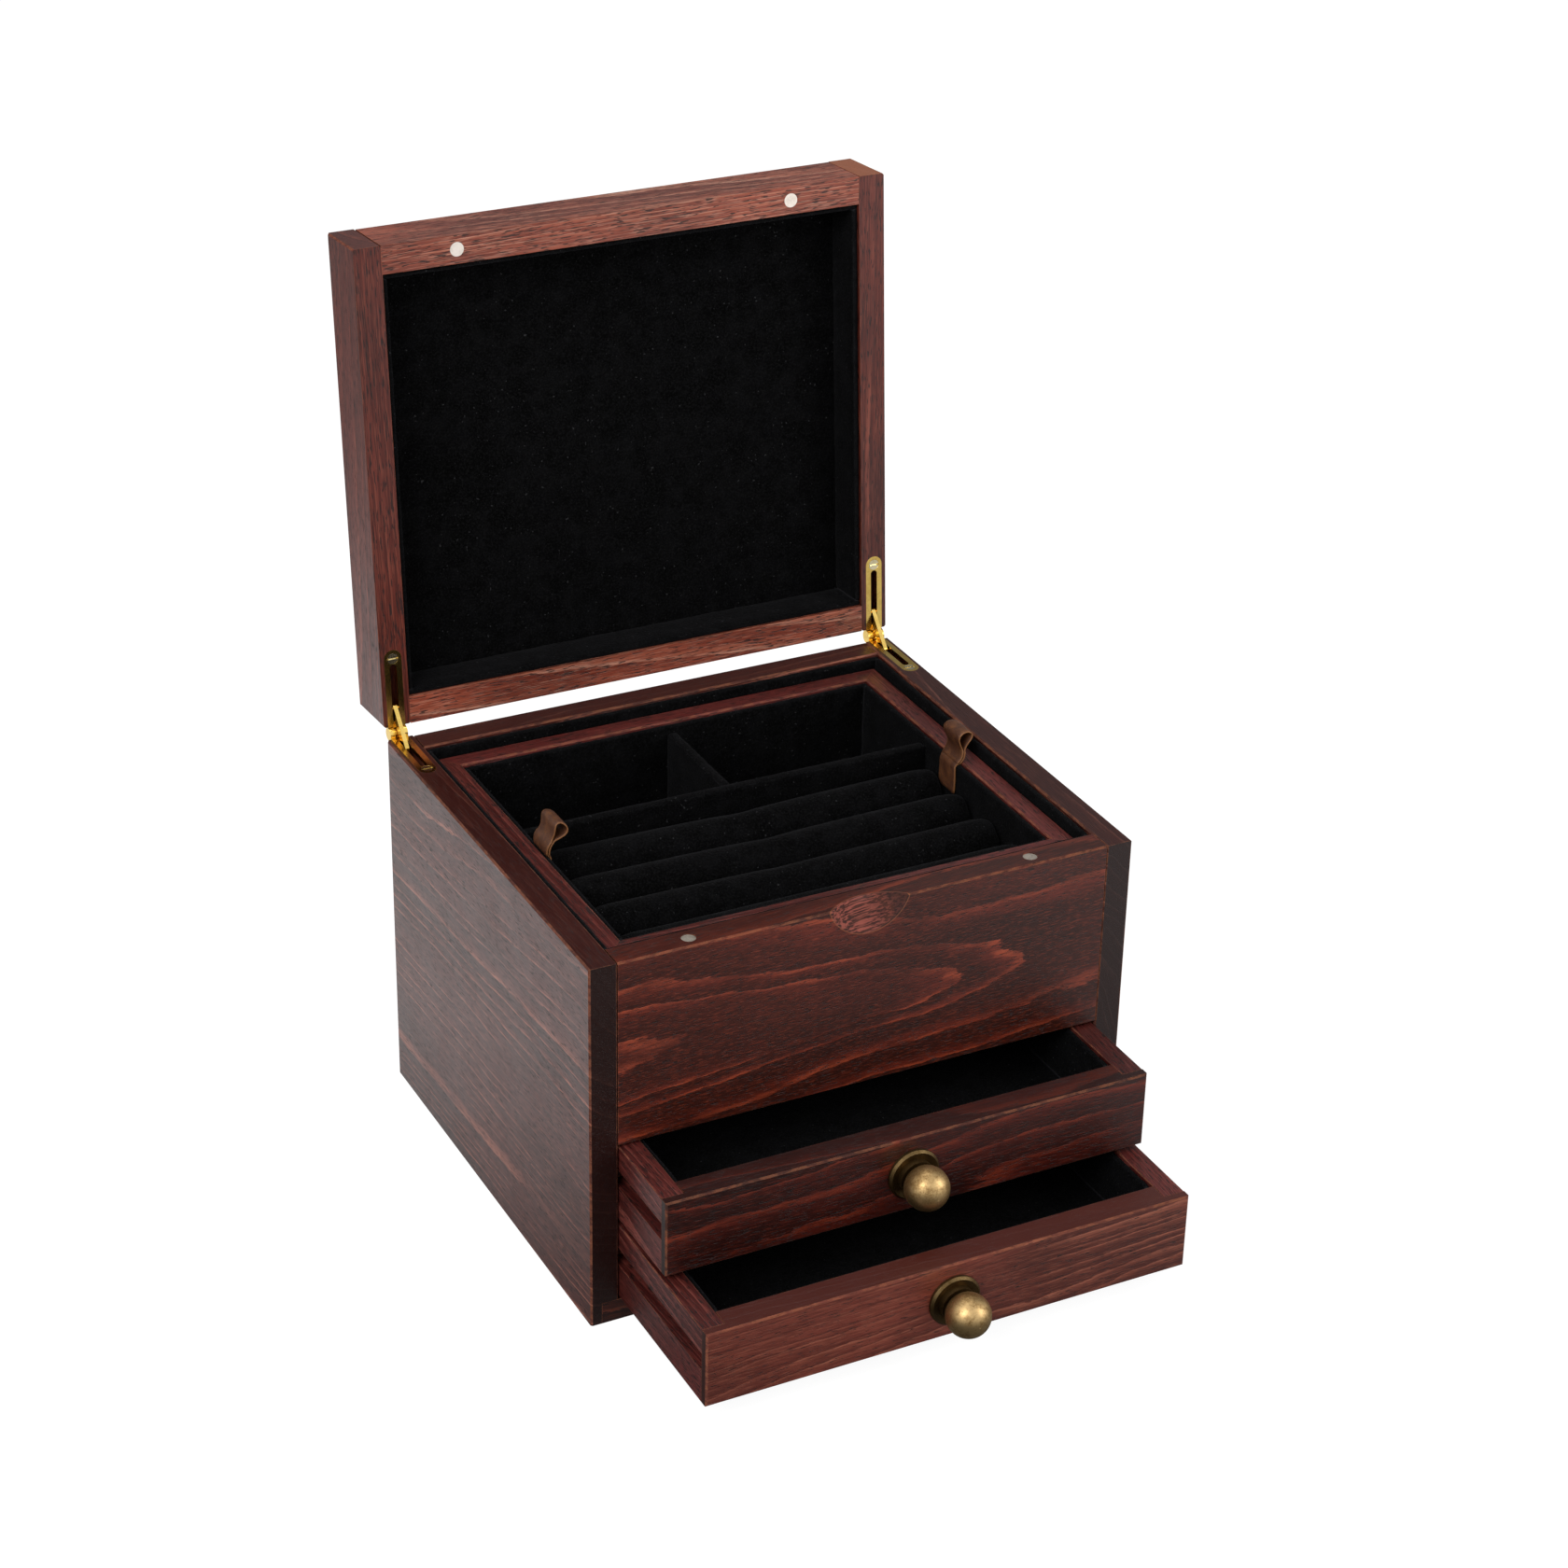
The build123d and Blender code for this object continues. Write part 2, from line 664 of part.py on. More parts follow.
def drawer_front(face_y, foot):
    """A drawer front, rabbeted at its ends for the sides and grooved for the bottom."""
    inner_half = drawer_width / 2 - drawer_side_thickness
    with BuildPart() as piece:
        with BuildSketch(Plane.XY.offset(foot)):
            with Locations((0, face_y + drawer_front_lip / 2)):
                Rectangle(drawer_width, drawer_front_lip)
            with Locations((0, face_y + drawer_front_thickness / 2)):
                Rectangle(2 * inner_half, drawer_front_thickness)
        extrude(amount=drawer_height)
        face = piece.faces().sort_by(Axis.Y)[0]
        chamfer(face.edges(), edge_ease)
        recess(Plane.XY.offset(foot + drawer_bottom_foot), (2 * inner_half, drawer_bottom_groove),
               (0, face_y + drawer_front_thickness - drawer_bottom_groove / 2),
               drawer_bottom_thickness)
        knob_plane = Plane(origin=(0, face_y, foot + drawer_height / 2), x_dir=(1, 0, 0),
                           z_dir=(0, -1, 0))
        extrude(disc(knob_plane, knob_screw_diameter / 2), amount=-drawer_front_thickness,
                mode=Mode.SUBTRACT)
        extrude(disc(knob_plane.offset(-drawer_front_thickness), knob_screw_head / 2),
                amount=knob_screw_head_height, mode=Mode.SUBTRACT)
    return piece


def drawer_side(hand, face_y, foot):
    """A drawer side with the running groove outside and the bottom's groove inside."""
    outer = hand * drawer_width / 2
    inner = outer - hand * drawer_side_thickness
    start = face_y + drawer_front_lip
    length = drawer_length - drawer_front_lip
    with BuildPart() as piece:
        with BuildSketch(Plane.XY.offset(foot)):
            with Locations(((outer + inner) / 2, start + length / 2)):
                Rectangle(drawer_side_thickness, length)
        extrude(amount=drawer_height)
        recess(Plane.XY.offset(foot + drawer_groove_foot), (drawer_groove_depth, length),
               (outer - hand * drawer_groove_depth / 2, start + length / 2), drawer_groove_height)
        bottom_start = start + drawer_front_thickness - drawer_front_lip - drawer_bottom_groove
        recess(Plane.XY.offset(foot + drawer_bottom_foot),
               (drawer_bottom_groove, face_y + drawer_length - bottom_start),
               (inner + hand * drawer_bottom_groove / 2,
                (bottom_start + face_y + drawer_length) / 2), drawer_bottom_thickness)
        top = piece.faces().sort_by(Axis.Z)[-1]
        chamfer(top.edges().filter_by(Axis.Y), edge_ease / 2)
    return piece


def knob(face_y, foot):
    """A ball knob turned in one piece with its collar and dished rosette."""
    middle = foot + drawer_height / 2
    rosette = rosette_diameter / 2
    collar = collar_diameter / 2
    ball = ball_diameter / 2
    neck = collar - neck_taper
    seat = sqrt(ball**2 - neck**2)
    with BuildPart() as piece:
        with BuildSketch(Plane(origin=(0, face_y, middle), x_dir=(1, 0, 0), z_dir=(0, 0, 1))):
            with BuildLine():
                Polyline((0, 0), (rosette, 0), (rosette, rosette_edge - rosette_thickness),
                         (rosette - rosette_edge, -rosette_thickness),
                         (collar, rosette_dish - rosette_thickness), (collar, -collar_reach))
                Line((collar, -collar_reach), (neck, -ball_reach + seat))
                ThreePointArc((neck, -ball_reach + seat), (ball, -ball_reach),
                              (0, -ball_reach - ball))
                Line((0, -ball_reach - ball), (0, 0))
            make_face()
        revolve(axis=Axis((0, face_y, middle), (0, 1, 0)))
        knob_plane = Plane(origin=(0, face_y, middle), x_dir=(1, 0, 0), z_dir=(0, -1, 0))
        extrude(disc(knob_plane, knob_screw_diameter / 2), amount=knob_screw_depth,
                mode=Mode.SUBTRACT)
    return piece


def knob_screw(face_y, foot):
    """The machine screw through the drawer front into the knob."""
    middle = foot + drawer_height / 2
    inside = Plane(origin=(0, face_y + drawer_front_thickness, middle), x_dir=(1, 0, 0),
                   z_dir=(0, -1, 0))
    with BuildPart() as piece:
        extrude(disc(inside, knob_screw_diameter / 2),
                amount=drawer_front_thickness + knob_screw_depth - knob_screw_end_clear)
        extrude(disc(inside, knob_screw_head / 2), amount=knob_screw_head_height)
        recess(inside, (knob_screw_head, knob_screw_slot), (0, 0), knob_screw_slot)
    return piece


def drawer_lining(face_y, foot):
    """The floor card and the four wall cards of a drawer's velvet lining."""
    inner_width = drawer_width - 2 * drawer_side_thickness
    inner_depth = drawer_length - drawer_front_thickness - drawer_side_thickness
    well_foot = foot + drawer_bottom_foot + drawer_bottom_thickness
    middle_y = face_y + drawer_front_thickness + inner_depth / 2
    with BuildPart() as piece:
        add(plain_board(Plane.XY.offset(well_foot), (inner_width, inner_depth), (0, middle_y),
                        floor_lining).part)
        add(lining_ring(Plane.XY.offset(well_foot + floor_lining), inner_width, inner_depth,
                        foot + drawer_height - lining_reveal - well_foot - floor_lining,
                        lining, (0, middle_y)).part)
    return piece


def make_drawer(name, foot, pulled_out):
    """All the pieces of one drawer, with its front pulled out from the front of the chest."""
    face_y = front_y - pulled_out
    inner_half = drawer_width / 2 - drawer_side_thickness
    back_edge = face_y + drawer_length
    bottom_start = face_y + drawer_front_thickness - drawer_bottom_groove
    keep(drawer_front(face_y, foot), f"{name}_front")
    keep(drawer_side(-1, face_y, foot), f"{name}_side_left")
    keep(drawer_side(1, face_y, foot), f"{name}_side_right")
    back_foot = drawer_bottom_foot + drawer_bottom_thickness
    back = plain_board(Plane.XY.offset(foot + back_foot), (2 * inner_half, drawer_side_thickness),
                       (0, back_edge - drawer_side_thickness / 2), drawer_height - back_foot)
    keep(back, f"{name}_back")
    bottom = plain_board(
        Plane.XY.offset(foot + drawer_bottom_foot),
        (2 * (inner_half + drawer_bottom_groove), back_edge - bottom_start),
        (0, (bottom_start + back_edge) / 2), drawer_bottom_thickness)
    keep(bottom, f"{name}_bottom")
    keep(drawer_lining(face_y, foot), f"{name}_lining")
    keep(knob(face_y, foot), f"{name}_knob")
    keep(knob_screw(face_y, foot), f"{name}_knob_screw")


make_drawer("upper_drawer", upper_drawer_foot, upper_drawer_out)
make_drawer("lower_drawer", lower_drawer_foot, lower_drawer_out)
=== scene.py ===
"""Looks of a jewellery chest: wood, velvet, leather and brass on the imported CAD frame."""

import json
import logging
import math
from dataclasses import dataclass, field, replace
from enum import Enum
from typing import Union

import bmesh
import bpy
from mathutils import Matrix, Vector, noise

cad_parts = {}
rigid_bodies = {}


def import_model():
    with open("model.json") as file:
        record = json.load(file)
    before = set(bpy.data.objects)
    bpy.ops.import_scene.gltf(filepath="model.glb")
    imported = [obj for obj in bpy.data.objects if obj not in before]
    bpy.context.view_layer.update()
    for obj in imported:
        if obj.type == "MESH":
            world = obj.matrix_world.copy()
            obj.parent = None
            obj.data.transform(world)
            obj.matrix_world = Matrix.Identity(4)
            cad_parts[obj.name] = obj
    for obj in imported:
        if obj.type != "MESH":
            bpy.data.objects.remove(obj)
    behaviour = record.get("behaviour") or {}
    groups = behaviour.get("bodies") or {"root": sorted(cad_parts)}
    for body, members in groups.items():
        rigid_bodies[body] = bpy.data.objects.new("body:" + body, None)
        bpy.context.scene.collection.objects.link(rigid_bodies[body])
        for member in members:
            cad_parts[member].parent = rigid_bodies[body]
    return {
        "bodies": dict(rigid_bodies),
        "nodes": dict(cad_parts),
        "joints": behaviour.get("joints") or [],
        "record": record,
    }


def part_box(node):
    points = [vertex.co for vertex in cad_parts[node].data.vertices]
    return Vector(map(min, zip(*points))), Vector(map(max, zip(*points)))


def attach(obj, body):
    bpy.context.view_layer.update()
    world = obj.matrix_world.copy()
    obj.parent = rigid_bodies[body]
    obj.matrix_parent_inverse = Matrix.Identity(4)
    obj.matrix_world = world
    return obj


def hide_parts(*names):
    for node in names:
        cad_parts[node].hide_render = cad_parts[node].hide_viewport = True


LOG = logging.getLogger("jewellery_chest")

OPEN_ANGLE = 94.4  # degrees from the shut lid to its stop, where it rests
WHITE = (1.0, 1.0, 1.0, 1.0)

Socket = bpy.types.NodeSocket
Input = Union[bpy.types.NodeSocket, float, tuple, Vector]
Span = tuple[float, float]
Triple = tuple[float, float, float]
Ramp = tuple[float, float, float, float]  # where a smooth step starts and ends, and its levels
Corners = tuple[Vector, Vector]


def linear(colour: str) -> tuple[float, ...]:
    """Turn a hex colour into linear RGBA.

    Args:
        colour: six hex digits, with or without a leading #.

    Returns:
        Four floats, the last one 1.
    """
    digits = colour.lstrip("#")
    out = []
    for at in (0, 2, 4):
        value = int(digits[at:at + 2], 16) / 255
        out.append(value / 12.92 if value <= 0.04045 else ((value + 0.055) / 1.055) ** 2.4)
    return (*out, 1.0)


# ---------------------------------------------------------------- node graphs


@dataclass(frozen=True)
class Mottle:
    """The sizes of an even noise.

    Attributes:
        scale: features per metre.
        detail: octaves.
        rough: strength of the finer octaves.
    """

    scale: float
    detail: float = 2.0
    rough: float = 0.5


@dataclass(frozen=True)
class Stretch:
    """The sizes of a noise that is drawn out along the first axis.

    Attributes:
        along: features per metre along the axis.
        across: features per metre across it.
        detail: octaves.
        rough: strength of the finer octaves.
    """

    along: float
    across: float
    detail: float
    rough: float = 0.5


class Graph:
    """A node tree with short calls for the nodes that the finishes are made of."""

    def __init__(self, tree: bpy.types.NodeTree) -> None:
        """Wrap a tree."""
        self.tree = tree

    def put(self, socket: Socket, value: Input) -> None:
        """Link a socket to another, or set its constant.

        Args:
            socket: the input.
            value: another node's output, or a constant.
        """
        if isinstance(value, bpy.types.NodeSocket):
            self.tree.links.new(value, socket)
        else:
            socket.default_value = value

    def node(self, kind: str, inputs: dict | None = None, **props: object) -> bpy.types.Node:
        """Add a node.

        Args:
            kind: the node's Blender type.
            inputs: values or sockets by input name or index.
            **props: plain properties of the node.

        Returns:
            The node.
        """
        made = self.tree.nodes.new(kind)
        for name, value in props.items():
            setattr(made, name, value)
        for key, value in (inputs or {}).items():
            self.put(made.inputs[key], value)
        return made

    def math(self, operation: str, a: Input, b: Input = 0.0, c: Input = 0.0) -> Socket:
        """One Math node's result."""
        return self.node("ShaderNodeMath", {0: a, 1: b, 2: c}, operation=operation).outputs[0]

    def vector(self, operation: str, a: Input, b: Input = (0, 0, 0),
               scale: float = 1.0) -> Socket:
        """Add a Vector Math node.

        Args:
            operation: the node's operation.
            a: its first vector.
            b: its second vector.
            scale: its factor, for SCALE.

        Returns:
            Its result: a number for a dot product or a length, otherwise a vector.
        """
        made = self.node("ShaderNodeVectorMath", {0: a, 1: b}, operation=operation)
        made.inputs[3].default_value = scale
        return made.outputs[1 if operation in ("DOT_PRODUCT", "LENGTH") else 0]

    def mix(self, factor: Input, a: Input, b: Input) -> Socket:
        """Mix two colours.

        Args:
            factor: 0 for the first, 1 for the second.
            a: the first colour.
            b: the second colour.

        Returns:
            The mixed colour.
        """
        made = self.node("ShaderNodeMix", data_type="RGBA", clamp_factor=True)
        for key, value in ((0, factor), (6, a), (7, b)):
            self.put(made.inputs[key], value)
        return made.outputs[2]

    def noise(self, vector: Input, sizes: Mottle, colour: bool = False) -> Socket:
        """Add a Noise texture.

        Args:
            vector: the point.
            sizes: of the noise.
            colour: whether to give three channels in place of one.

        Returns:
            The noise, 0 to 1.
        """
        made = self.node("ShaderNodeTexNoise",
                         {"Vector": vector, "Scale": sizes.scale, "Detail": sizes.detail,
                          "Roughness": sizes.rough})
        return made.outputs["Color" if colour else "Fac"]

    def stretched(self, vector: Input, sizes: Stretch, colour: bool = False) -> Socket:
        """Add a Noise texture that is drawn out along the first axis.

        Args:
            vector: the point, with the grain as its first axis.
            sizes: of the noise.
            colour: whether to give three channels in place of one.

        Returns:
            The noise, 0 to 1.
        """
        drawn = self.vector("MULTIPLY", vector, (sizes.along, sizes.across, sizes.across))
        return self.noise(drawn, Mottle(1.0, sizes.detail, sizes.rough), colour)

    def step(self, value: Input, start: float, end: float, low: float = 0.0,
             high: float = 1.0) -> Socket:
        """A smooth step from low to high as a value goes from start to end."""
        return self.node("ShaderNodeMapRange", {0: value, 1: start, 2: end, 3: low, 4: high},
                         interpolation_type="SMOOTHSTEP").outputs[0]

    def own_point(self) -> Socket:
        """The point in the object's frame."""
        return self.node("ShaderNodeTexCoord").outputs["Object"]

    def own_normal(self) -> Socket:
        """Find the surface's true normal in the piece's own directions, so that it turns with it.

        Returns:
            The normal.
        """
        normal = self.node("ShaderNodeNewGeometry").outputs["Normal"]
        return self.node("ShaderNodeVectorTransform", {0: normal}, vector_type="NORMAL",
                         convert_from="WORLD", convert_to="OBJECT").outputs[0]

    def squareness(self, axis: Input) -> Socket:
        """How squarely the surface lies to one of the object's directions, 0 to 1."""
        return self.math("ABSOLUTE", self.vector("DOT_PRODUCT", self.own_normal(), axis))

    def rounding(self, radius: float, samples: int) -> tuple[Socket, Socket]:
        """Round the edges' shading.

        Args:
            radius: of the rounding, in metres.
            samples: rays per point.

        Returns:
            The rounded normal, and 1 on the flat falling to less on an edge.
        """
        rounded = self.node("ShaderNodeBevel", {"Radius": radius}, samples=samples).outputs[0]
        true = self.node("ShaderNodeNewGeometry").outputs["Normal"]
        return rounded, self.vector("DOT_PRODUCT", rounded, true)


def bare_graph(owner: bpy.types.ID) -> Graph:
    """Clear the nodes of a material or a world.

    Args:
        owner: the material or the world.

    Returns:
        Its empty graph.
    """
    owner.use_nodes = True
    owner.node_tree.nodes.clear()
    return Graph(owner.node_tree)


class Surface:
    """A material with its graph and its Principled shader wired to the output."""

    def __init__(self, name: str) -> None:
        """Make an empty material.

        Args:
            name: the material's name.
        """
        self.material = bpy.data.materials.new(name)
        self.graph = bare_graph(self.material)
        self.shader = self.graph.node("ShaderNodeBsdfPrincipled")
        out = self.graph.node("ShaderNodeOutputMaterial")
        self.graph.put(out.inputs["Surface"], self.shader.outputs[0])

    def set(self, **inputs: Input) -> None:
        """Set or link the shader's inputs, named with _ for a space."""
        for name, value in inputs.items():
            self.graph.put(self.shader.inputs[name.replace("_", " ")], value)

    def relief(self, height: Input, distance: float, strength: float,
               normal: Input | None = None) -> None:
        """Bump the surface.

        Args:
            height: the relief, 0 to 1.
            distance: depth of the relief, in metres.
            strength: of the effect.
            normal: the normal that it starts from, if not the surface's own.
        """
        inputs = {"Strength": strength, "Distance": distance, "Height": height}
        if normal is not None:
            inputs["Normal"] = normal
        self.set(Normal=self.graph.node("ShaderNodeBump", inputs).outputs[0])


# ---------------------------------------------------------------- finishes


class Along(Enum):
    """The direction a board's grain runs in, as a unit vector."""

    WIDTH = (1.0, 0.0, 0.0)
    DEPTH = (0.0, 1.0, 0.0)
    OPEN_LID = (0.0, -math.cos(math.radians(OPEN_ANGLE)), math.sin(math.radians(OPEN_ANGLE)))


class Facing(Enum):
    """The way a board's face looks, as a unit vector."""

    LEFT = (-1.0, 0.0, 0.0)
    RIGHT = (1.0, 0.0, 0.0)
    FRONT = (0.0, -1.0, 0.0)
    BACK = (0.0, 1.0, 0.0)
    UP = (0.0, 0.0, 1.0)
    DOWN = (0.0, 0.0, -1.0)


@dataclass(frozen=True)
class Scoop:
    """A ball-nosed cut that shows raw grain under the lacquer.

    Attributes:
        centre: of the ball, in metres.
        radius: of the ball.
        pale: colour of the cut fibres.
        dark: colour between them.
        shaded: colour of the side that turns away from the light.
        shade_from: distances to the right of the centre between which the shade sets in.
        shade: how deep it gets, 0 to 1.
        fibres: fibre levels between which the cut turns from dark to pale.
        share: how far the cut covers the board's own colour, 0 to 1.
        edge: distances from the ball between which the cut ends, in metres.
        lip_start: distances between which its rubbed lip sets in.
        lip_end: distances between which the lip ends.
        lip_wear: how far the lip is rubbed, 0 to 1.
    """

    centre: Triple
    radius: float
    pale: str = "#9c5145"
    dark: str = "#30100b"
    shaded: str = "#1f0806"
    shade_from: Span = (-0.004, 0.013)
    shade: float = 0.85
    fibres: Span = (0.43, 0.58)
    share: float = 0.85
    edge: Span = (0.0002, 0.0003)
    lip_start: Span = (0.0002, 0.00028)
    lip_end: Span = (0.0004, 0.0006)
    lip_wear: float = 0.4

    def cover(self, g: Graph, local: Socket, middle: Vector, fibre: Socket, colour: Socket,
              rubbed: Input) -> Socket:
        """Colour the cut and its lip.

        Args:
            g: the board's graph.
            local: the point from the board's middle.
            middle: the board's middle.
            fibre: the board's fibre pattern.
            colour: the board's colour.
            rubbed: the colour of worn arrises.

        Returns:
            The colour with the cut in it.
        """
        reach = g.vector("LENGTH", g.vector("SUBTRACT", local, Vector(self.centre) - middle))
        gap = g.math("ABSOLUTE", g.math("SUBTRACT", reach, self.radius))
        aside = g.node("ShaderNodeSeparateXYZ", {0: local}).outputs[0]
        cut = g.mix(g.step(fibre, *self.fibres), linear(self.dark), linear(self.pale))
        cut = g.mix(g.step(aside, *self.shade_from, 0.0, self.shade), cut, linear(self.shaded))
        colour = g.mix(g.step(gap, *self.edge, self.share, 0.0), colour, cut)
        lip = g.math("MULTIPLY", g.step(gap, *self.lip_start),
                     g.step(gap, *self.lip_end, self.lip_wear, 0.0))
        return g.mix(lip, colour, rubbed)


@dataclass(frozen=True)
class Cut:
    """How a board lies in the log.

    Attributes:
        middle: the middle of the board, in metres.
        along: the grain's direction.
        face: the way the face that shows most looks.
        pith: the heart of the log from the middle, across and behind the face, in metres.
        tilt: slopes of the grain to the board, in its face and out of it.
        spread: how far apart the boards' patterns are taken, so that no two are alike.
    """

    middle: Vector
    along: Along
    face: Facing
    pith: Span
    tilt: Span
    spread: float = 37.0

    def axes(self) -> tuple[Vector, Vector, Vector]:
        """Find the board's own directions.

        Returns:
            The direction along its grain, the one across it and the one out of its face.
        """
        run, face = Vector(self.along.value), Vector(self.face.value)
        out = (face - run * face.dot(run)).normalized()
        return run, out.cross(run), out

    def places(self, g: Graph) -> tuple[Socket, Socket, Socket]:
        """Find where a point lies in the board.

        Args:
            g: the material's graph.

        Returns:
            The point from the board's middle, in the board's own directions, and in its pattern.
        """
        run, across, out = self.axes()
        local = g.vector("SUBTRACT", g.own_point(), self.middle)
        x = g.vector("DOT_PRODUCT", local, run)
        y = g.vector("DOT_PRODUCT", local, across - run * self.tilt[0])
        z = g.vector("DOT_PRODUCT", local, out - run * self.tilt[1])
        place = g.node("ShaderNodeCombineXYZ", {0: x, 1: y, 2: z}).outputs[0]
        return local, place, g.vector("ADD", place, self.middle * self.spread)

    def flatness(self, g: Graph) -> Socket:
        """How squarely a surface lies to the board.

        Args:
            g: the material's graph.

        Returns:
            1 on its faces and less on its arrises.
        """
        along, across, out = (g.squareness(axis) for axis in self.axes())
        return g.math("MAXIMUM", along, g.math("MAXIMUM", across, out))


@dataclass(frozen=True)
class Grain:
    """The patterns of one board.

    Attributes:
        late: the soft side of the growth lines.
        thin: their sharp side.
        early: the dark start of the next ring.
        fibre: short fibres.
        hair: the finest fibres.
        pore: open pores.
    """

    late: Socket
    thin: Socket
    early: Socket
    fibre: Socket
    hair: Socket
    pore: Socket


@dataclass(frozen=True)
class GrainSizes:
    """The sizes of the noises in a board's patterns.

    Attributes:
        wander: how the growth lines wander.
        fray: how their edges fray.
        fibre: short fibres.
        hair: the finest fibres.
        pore: open pores.
        cloud: darker clouds in the ground.
        patch: where the growth lines are strong or weak.
        broken: where their sharp side breaks off.
        rub: where the arrises are worn.
        gloss: duller patches of lacquer.
    """

    wander: Stretch = Stretch(8, 30, 1.0)
    fray: Stretch = Stretch(60, 230, 4.0, 0.65)
    fibre: Stretch = Stretch(45, 1500, 2.0, 0.65)
    hair: Stretch = Stretch(110, 3400, 1.0)
    pore: Stretch = Stretch(240, 2300, 1.0)
    cloud: Stretch = Stretch(9, 26, 2.0)
    patch: Stretch = Stretch(12, 50, 3.0, 0.6)
    broken: Stretch = Stretch(35, 300, 3.0, 0.6)
    rub: Stretch = Stretch(220, 420, 3.0, 0.6)
    gloss: Stretch = Stretch(60, 60, 2.0)


@dataclass(frozen=True)
class GrowthRing:
    """One growth ring, with the places of its parts as shares of its width.

    Attributes:
        early: the dark start, which fades out between these.
        late: the soft side of the growth line sets in between these.
        thin: the sharp side sets in between these.
        end: both stop short between these.
        wander: how far the rings wander, for each metre of raggedness.
        fray: how far their edges fray, for each metre of raggedness.
        uneven: by how many rings the count runs ahead or behind.
        stride: number of rings over which it does.
    """

    early: Span = (0.0, 0.38)
    late: Span = (0.35, 0.95)
    thin: Span = (0.78, 0.93)
    end: Span = (0.955, 0.985)
    wander: float = 4.0
    fray: float = 0.7
    uneven: float = 1.8
    stride: float = 2.5


@dataclass(frozen=True)
class Uptake:
    """How the stain takes: noise levels between which each tone sets in, and how far.

    Attributes:
        cloud: the ground goes from its shade to its own tone between these.
        patch: the growth lines gain strength between these, from the third to the fourth.
        broken: their sharp side does so between these.
        early: how far the start of a ring darkens, 0 to 1.
        furrow: the dark between the fibres fades between these.
        furrow_depth: how dark it is, 0 to 1.
        ridge: the warm tone on the fibres sets in between these.
        ridge_height: how strong it is, 0 to 1.
        hair: the pale tone on the finest fibres sets in between these.
        hair_height: how strong it is, 0 to 1.
        rarest: level at which pores start where few are open.
        opening: how far that level drops where all are open.
        pore_edge: width of a pore's edge, in levels.
        pore_depth: how dark a pore is, 0 to 1.
        pore_tone: its colour.
        broad: squareness to the broad face over which the narrow faces' tone fades.
        end: squareness to the grain over which the end grain's tone sets in.
    """

    cloud: Span = (0.36, 0.64)
    patch: Ramp = (0.36, 0.60, 0.1, 1.0)
    broken: Ramp = (0.34, 0.56, 0.15, 1.0)
    early: float = 0.55
    furrow: Span = (0.28, 0.62)
    furrow_depth: float = 0.75
    ridge: Span = (0.50, 0.80)
    ridge_height: float = 0.55
    hair: Span = (0.52, 0.72)
    hair_height: float = 0.35
    rarest: float = 0.72
    opening: float = 0.17
    pore_edge: float = 0.07
    pore_depth: float = 0.85
    pore_tone: str = "#140605"
    broad: Span = (0.5, 0.8)
    end: Span = (0.80, 0.95)


@dataclass(frozen=True)
class Wear:
    """How the arrises wear.

    Attributes:
        samples: rays that find an arris.
        sharp: cosines between the rounded and the true normal over which an arris sets in.
        eased: flatness over which a board's eased edge sets in.
        rub: noise levels between which the wear grows, from the third to the fourth.
        eased_share: how far an eased edge is worn, next to an arris.
    """

    samples: int = 6
    sharp: Span = (0.985, 0.88)
    eased: Span = (0.99, 0.94)
    rub: Ramp = (0.40, 0.60, 0.15, 0.85)
    eased_share: float = 0.38


@dataclass(frozen=True)
class Lacquer:
    """How the lacquer lies over the grain.

    Attributes:
        uneven: how much its roughness varies.
        arris: how much rougher the arrises are.
        fibre: share of the fibres in its relief.
        hair: share of the finest fibres.
        late: share of the growth lines.
        pore: share of the pores, which sink in.
        strength: of the relief.
    """

    uneven: float = 0.12
    arris: float = 0.5
    fibre: float = 0.7
    hair: float = 0.3
    late: float = 0.5
    pore: float = -0.8
    strength: float = 0.7


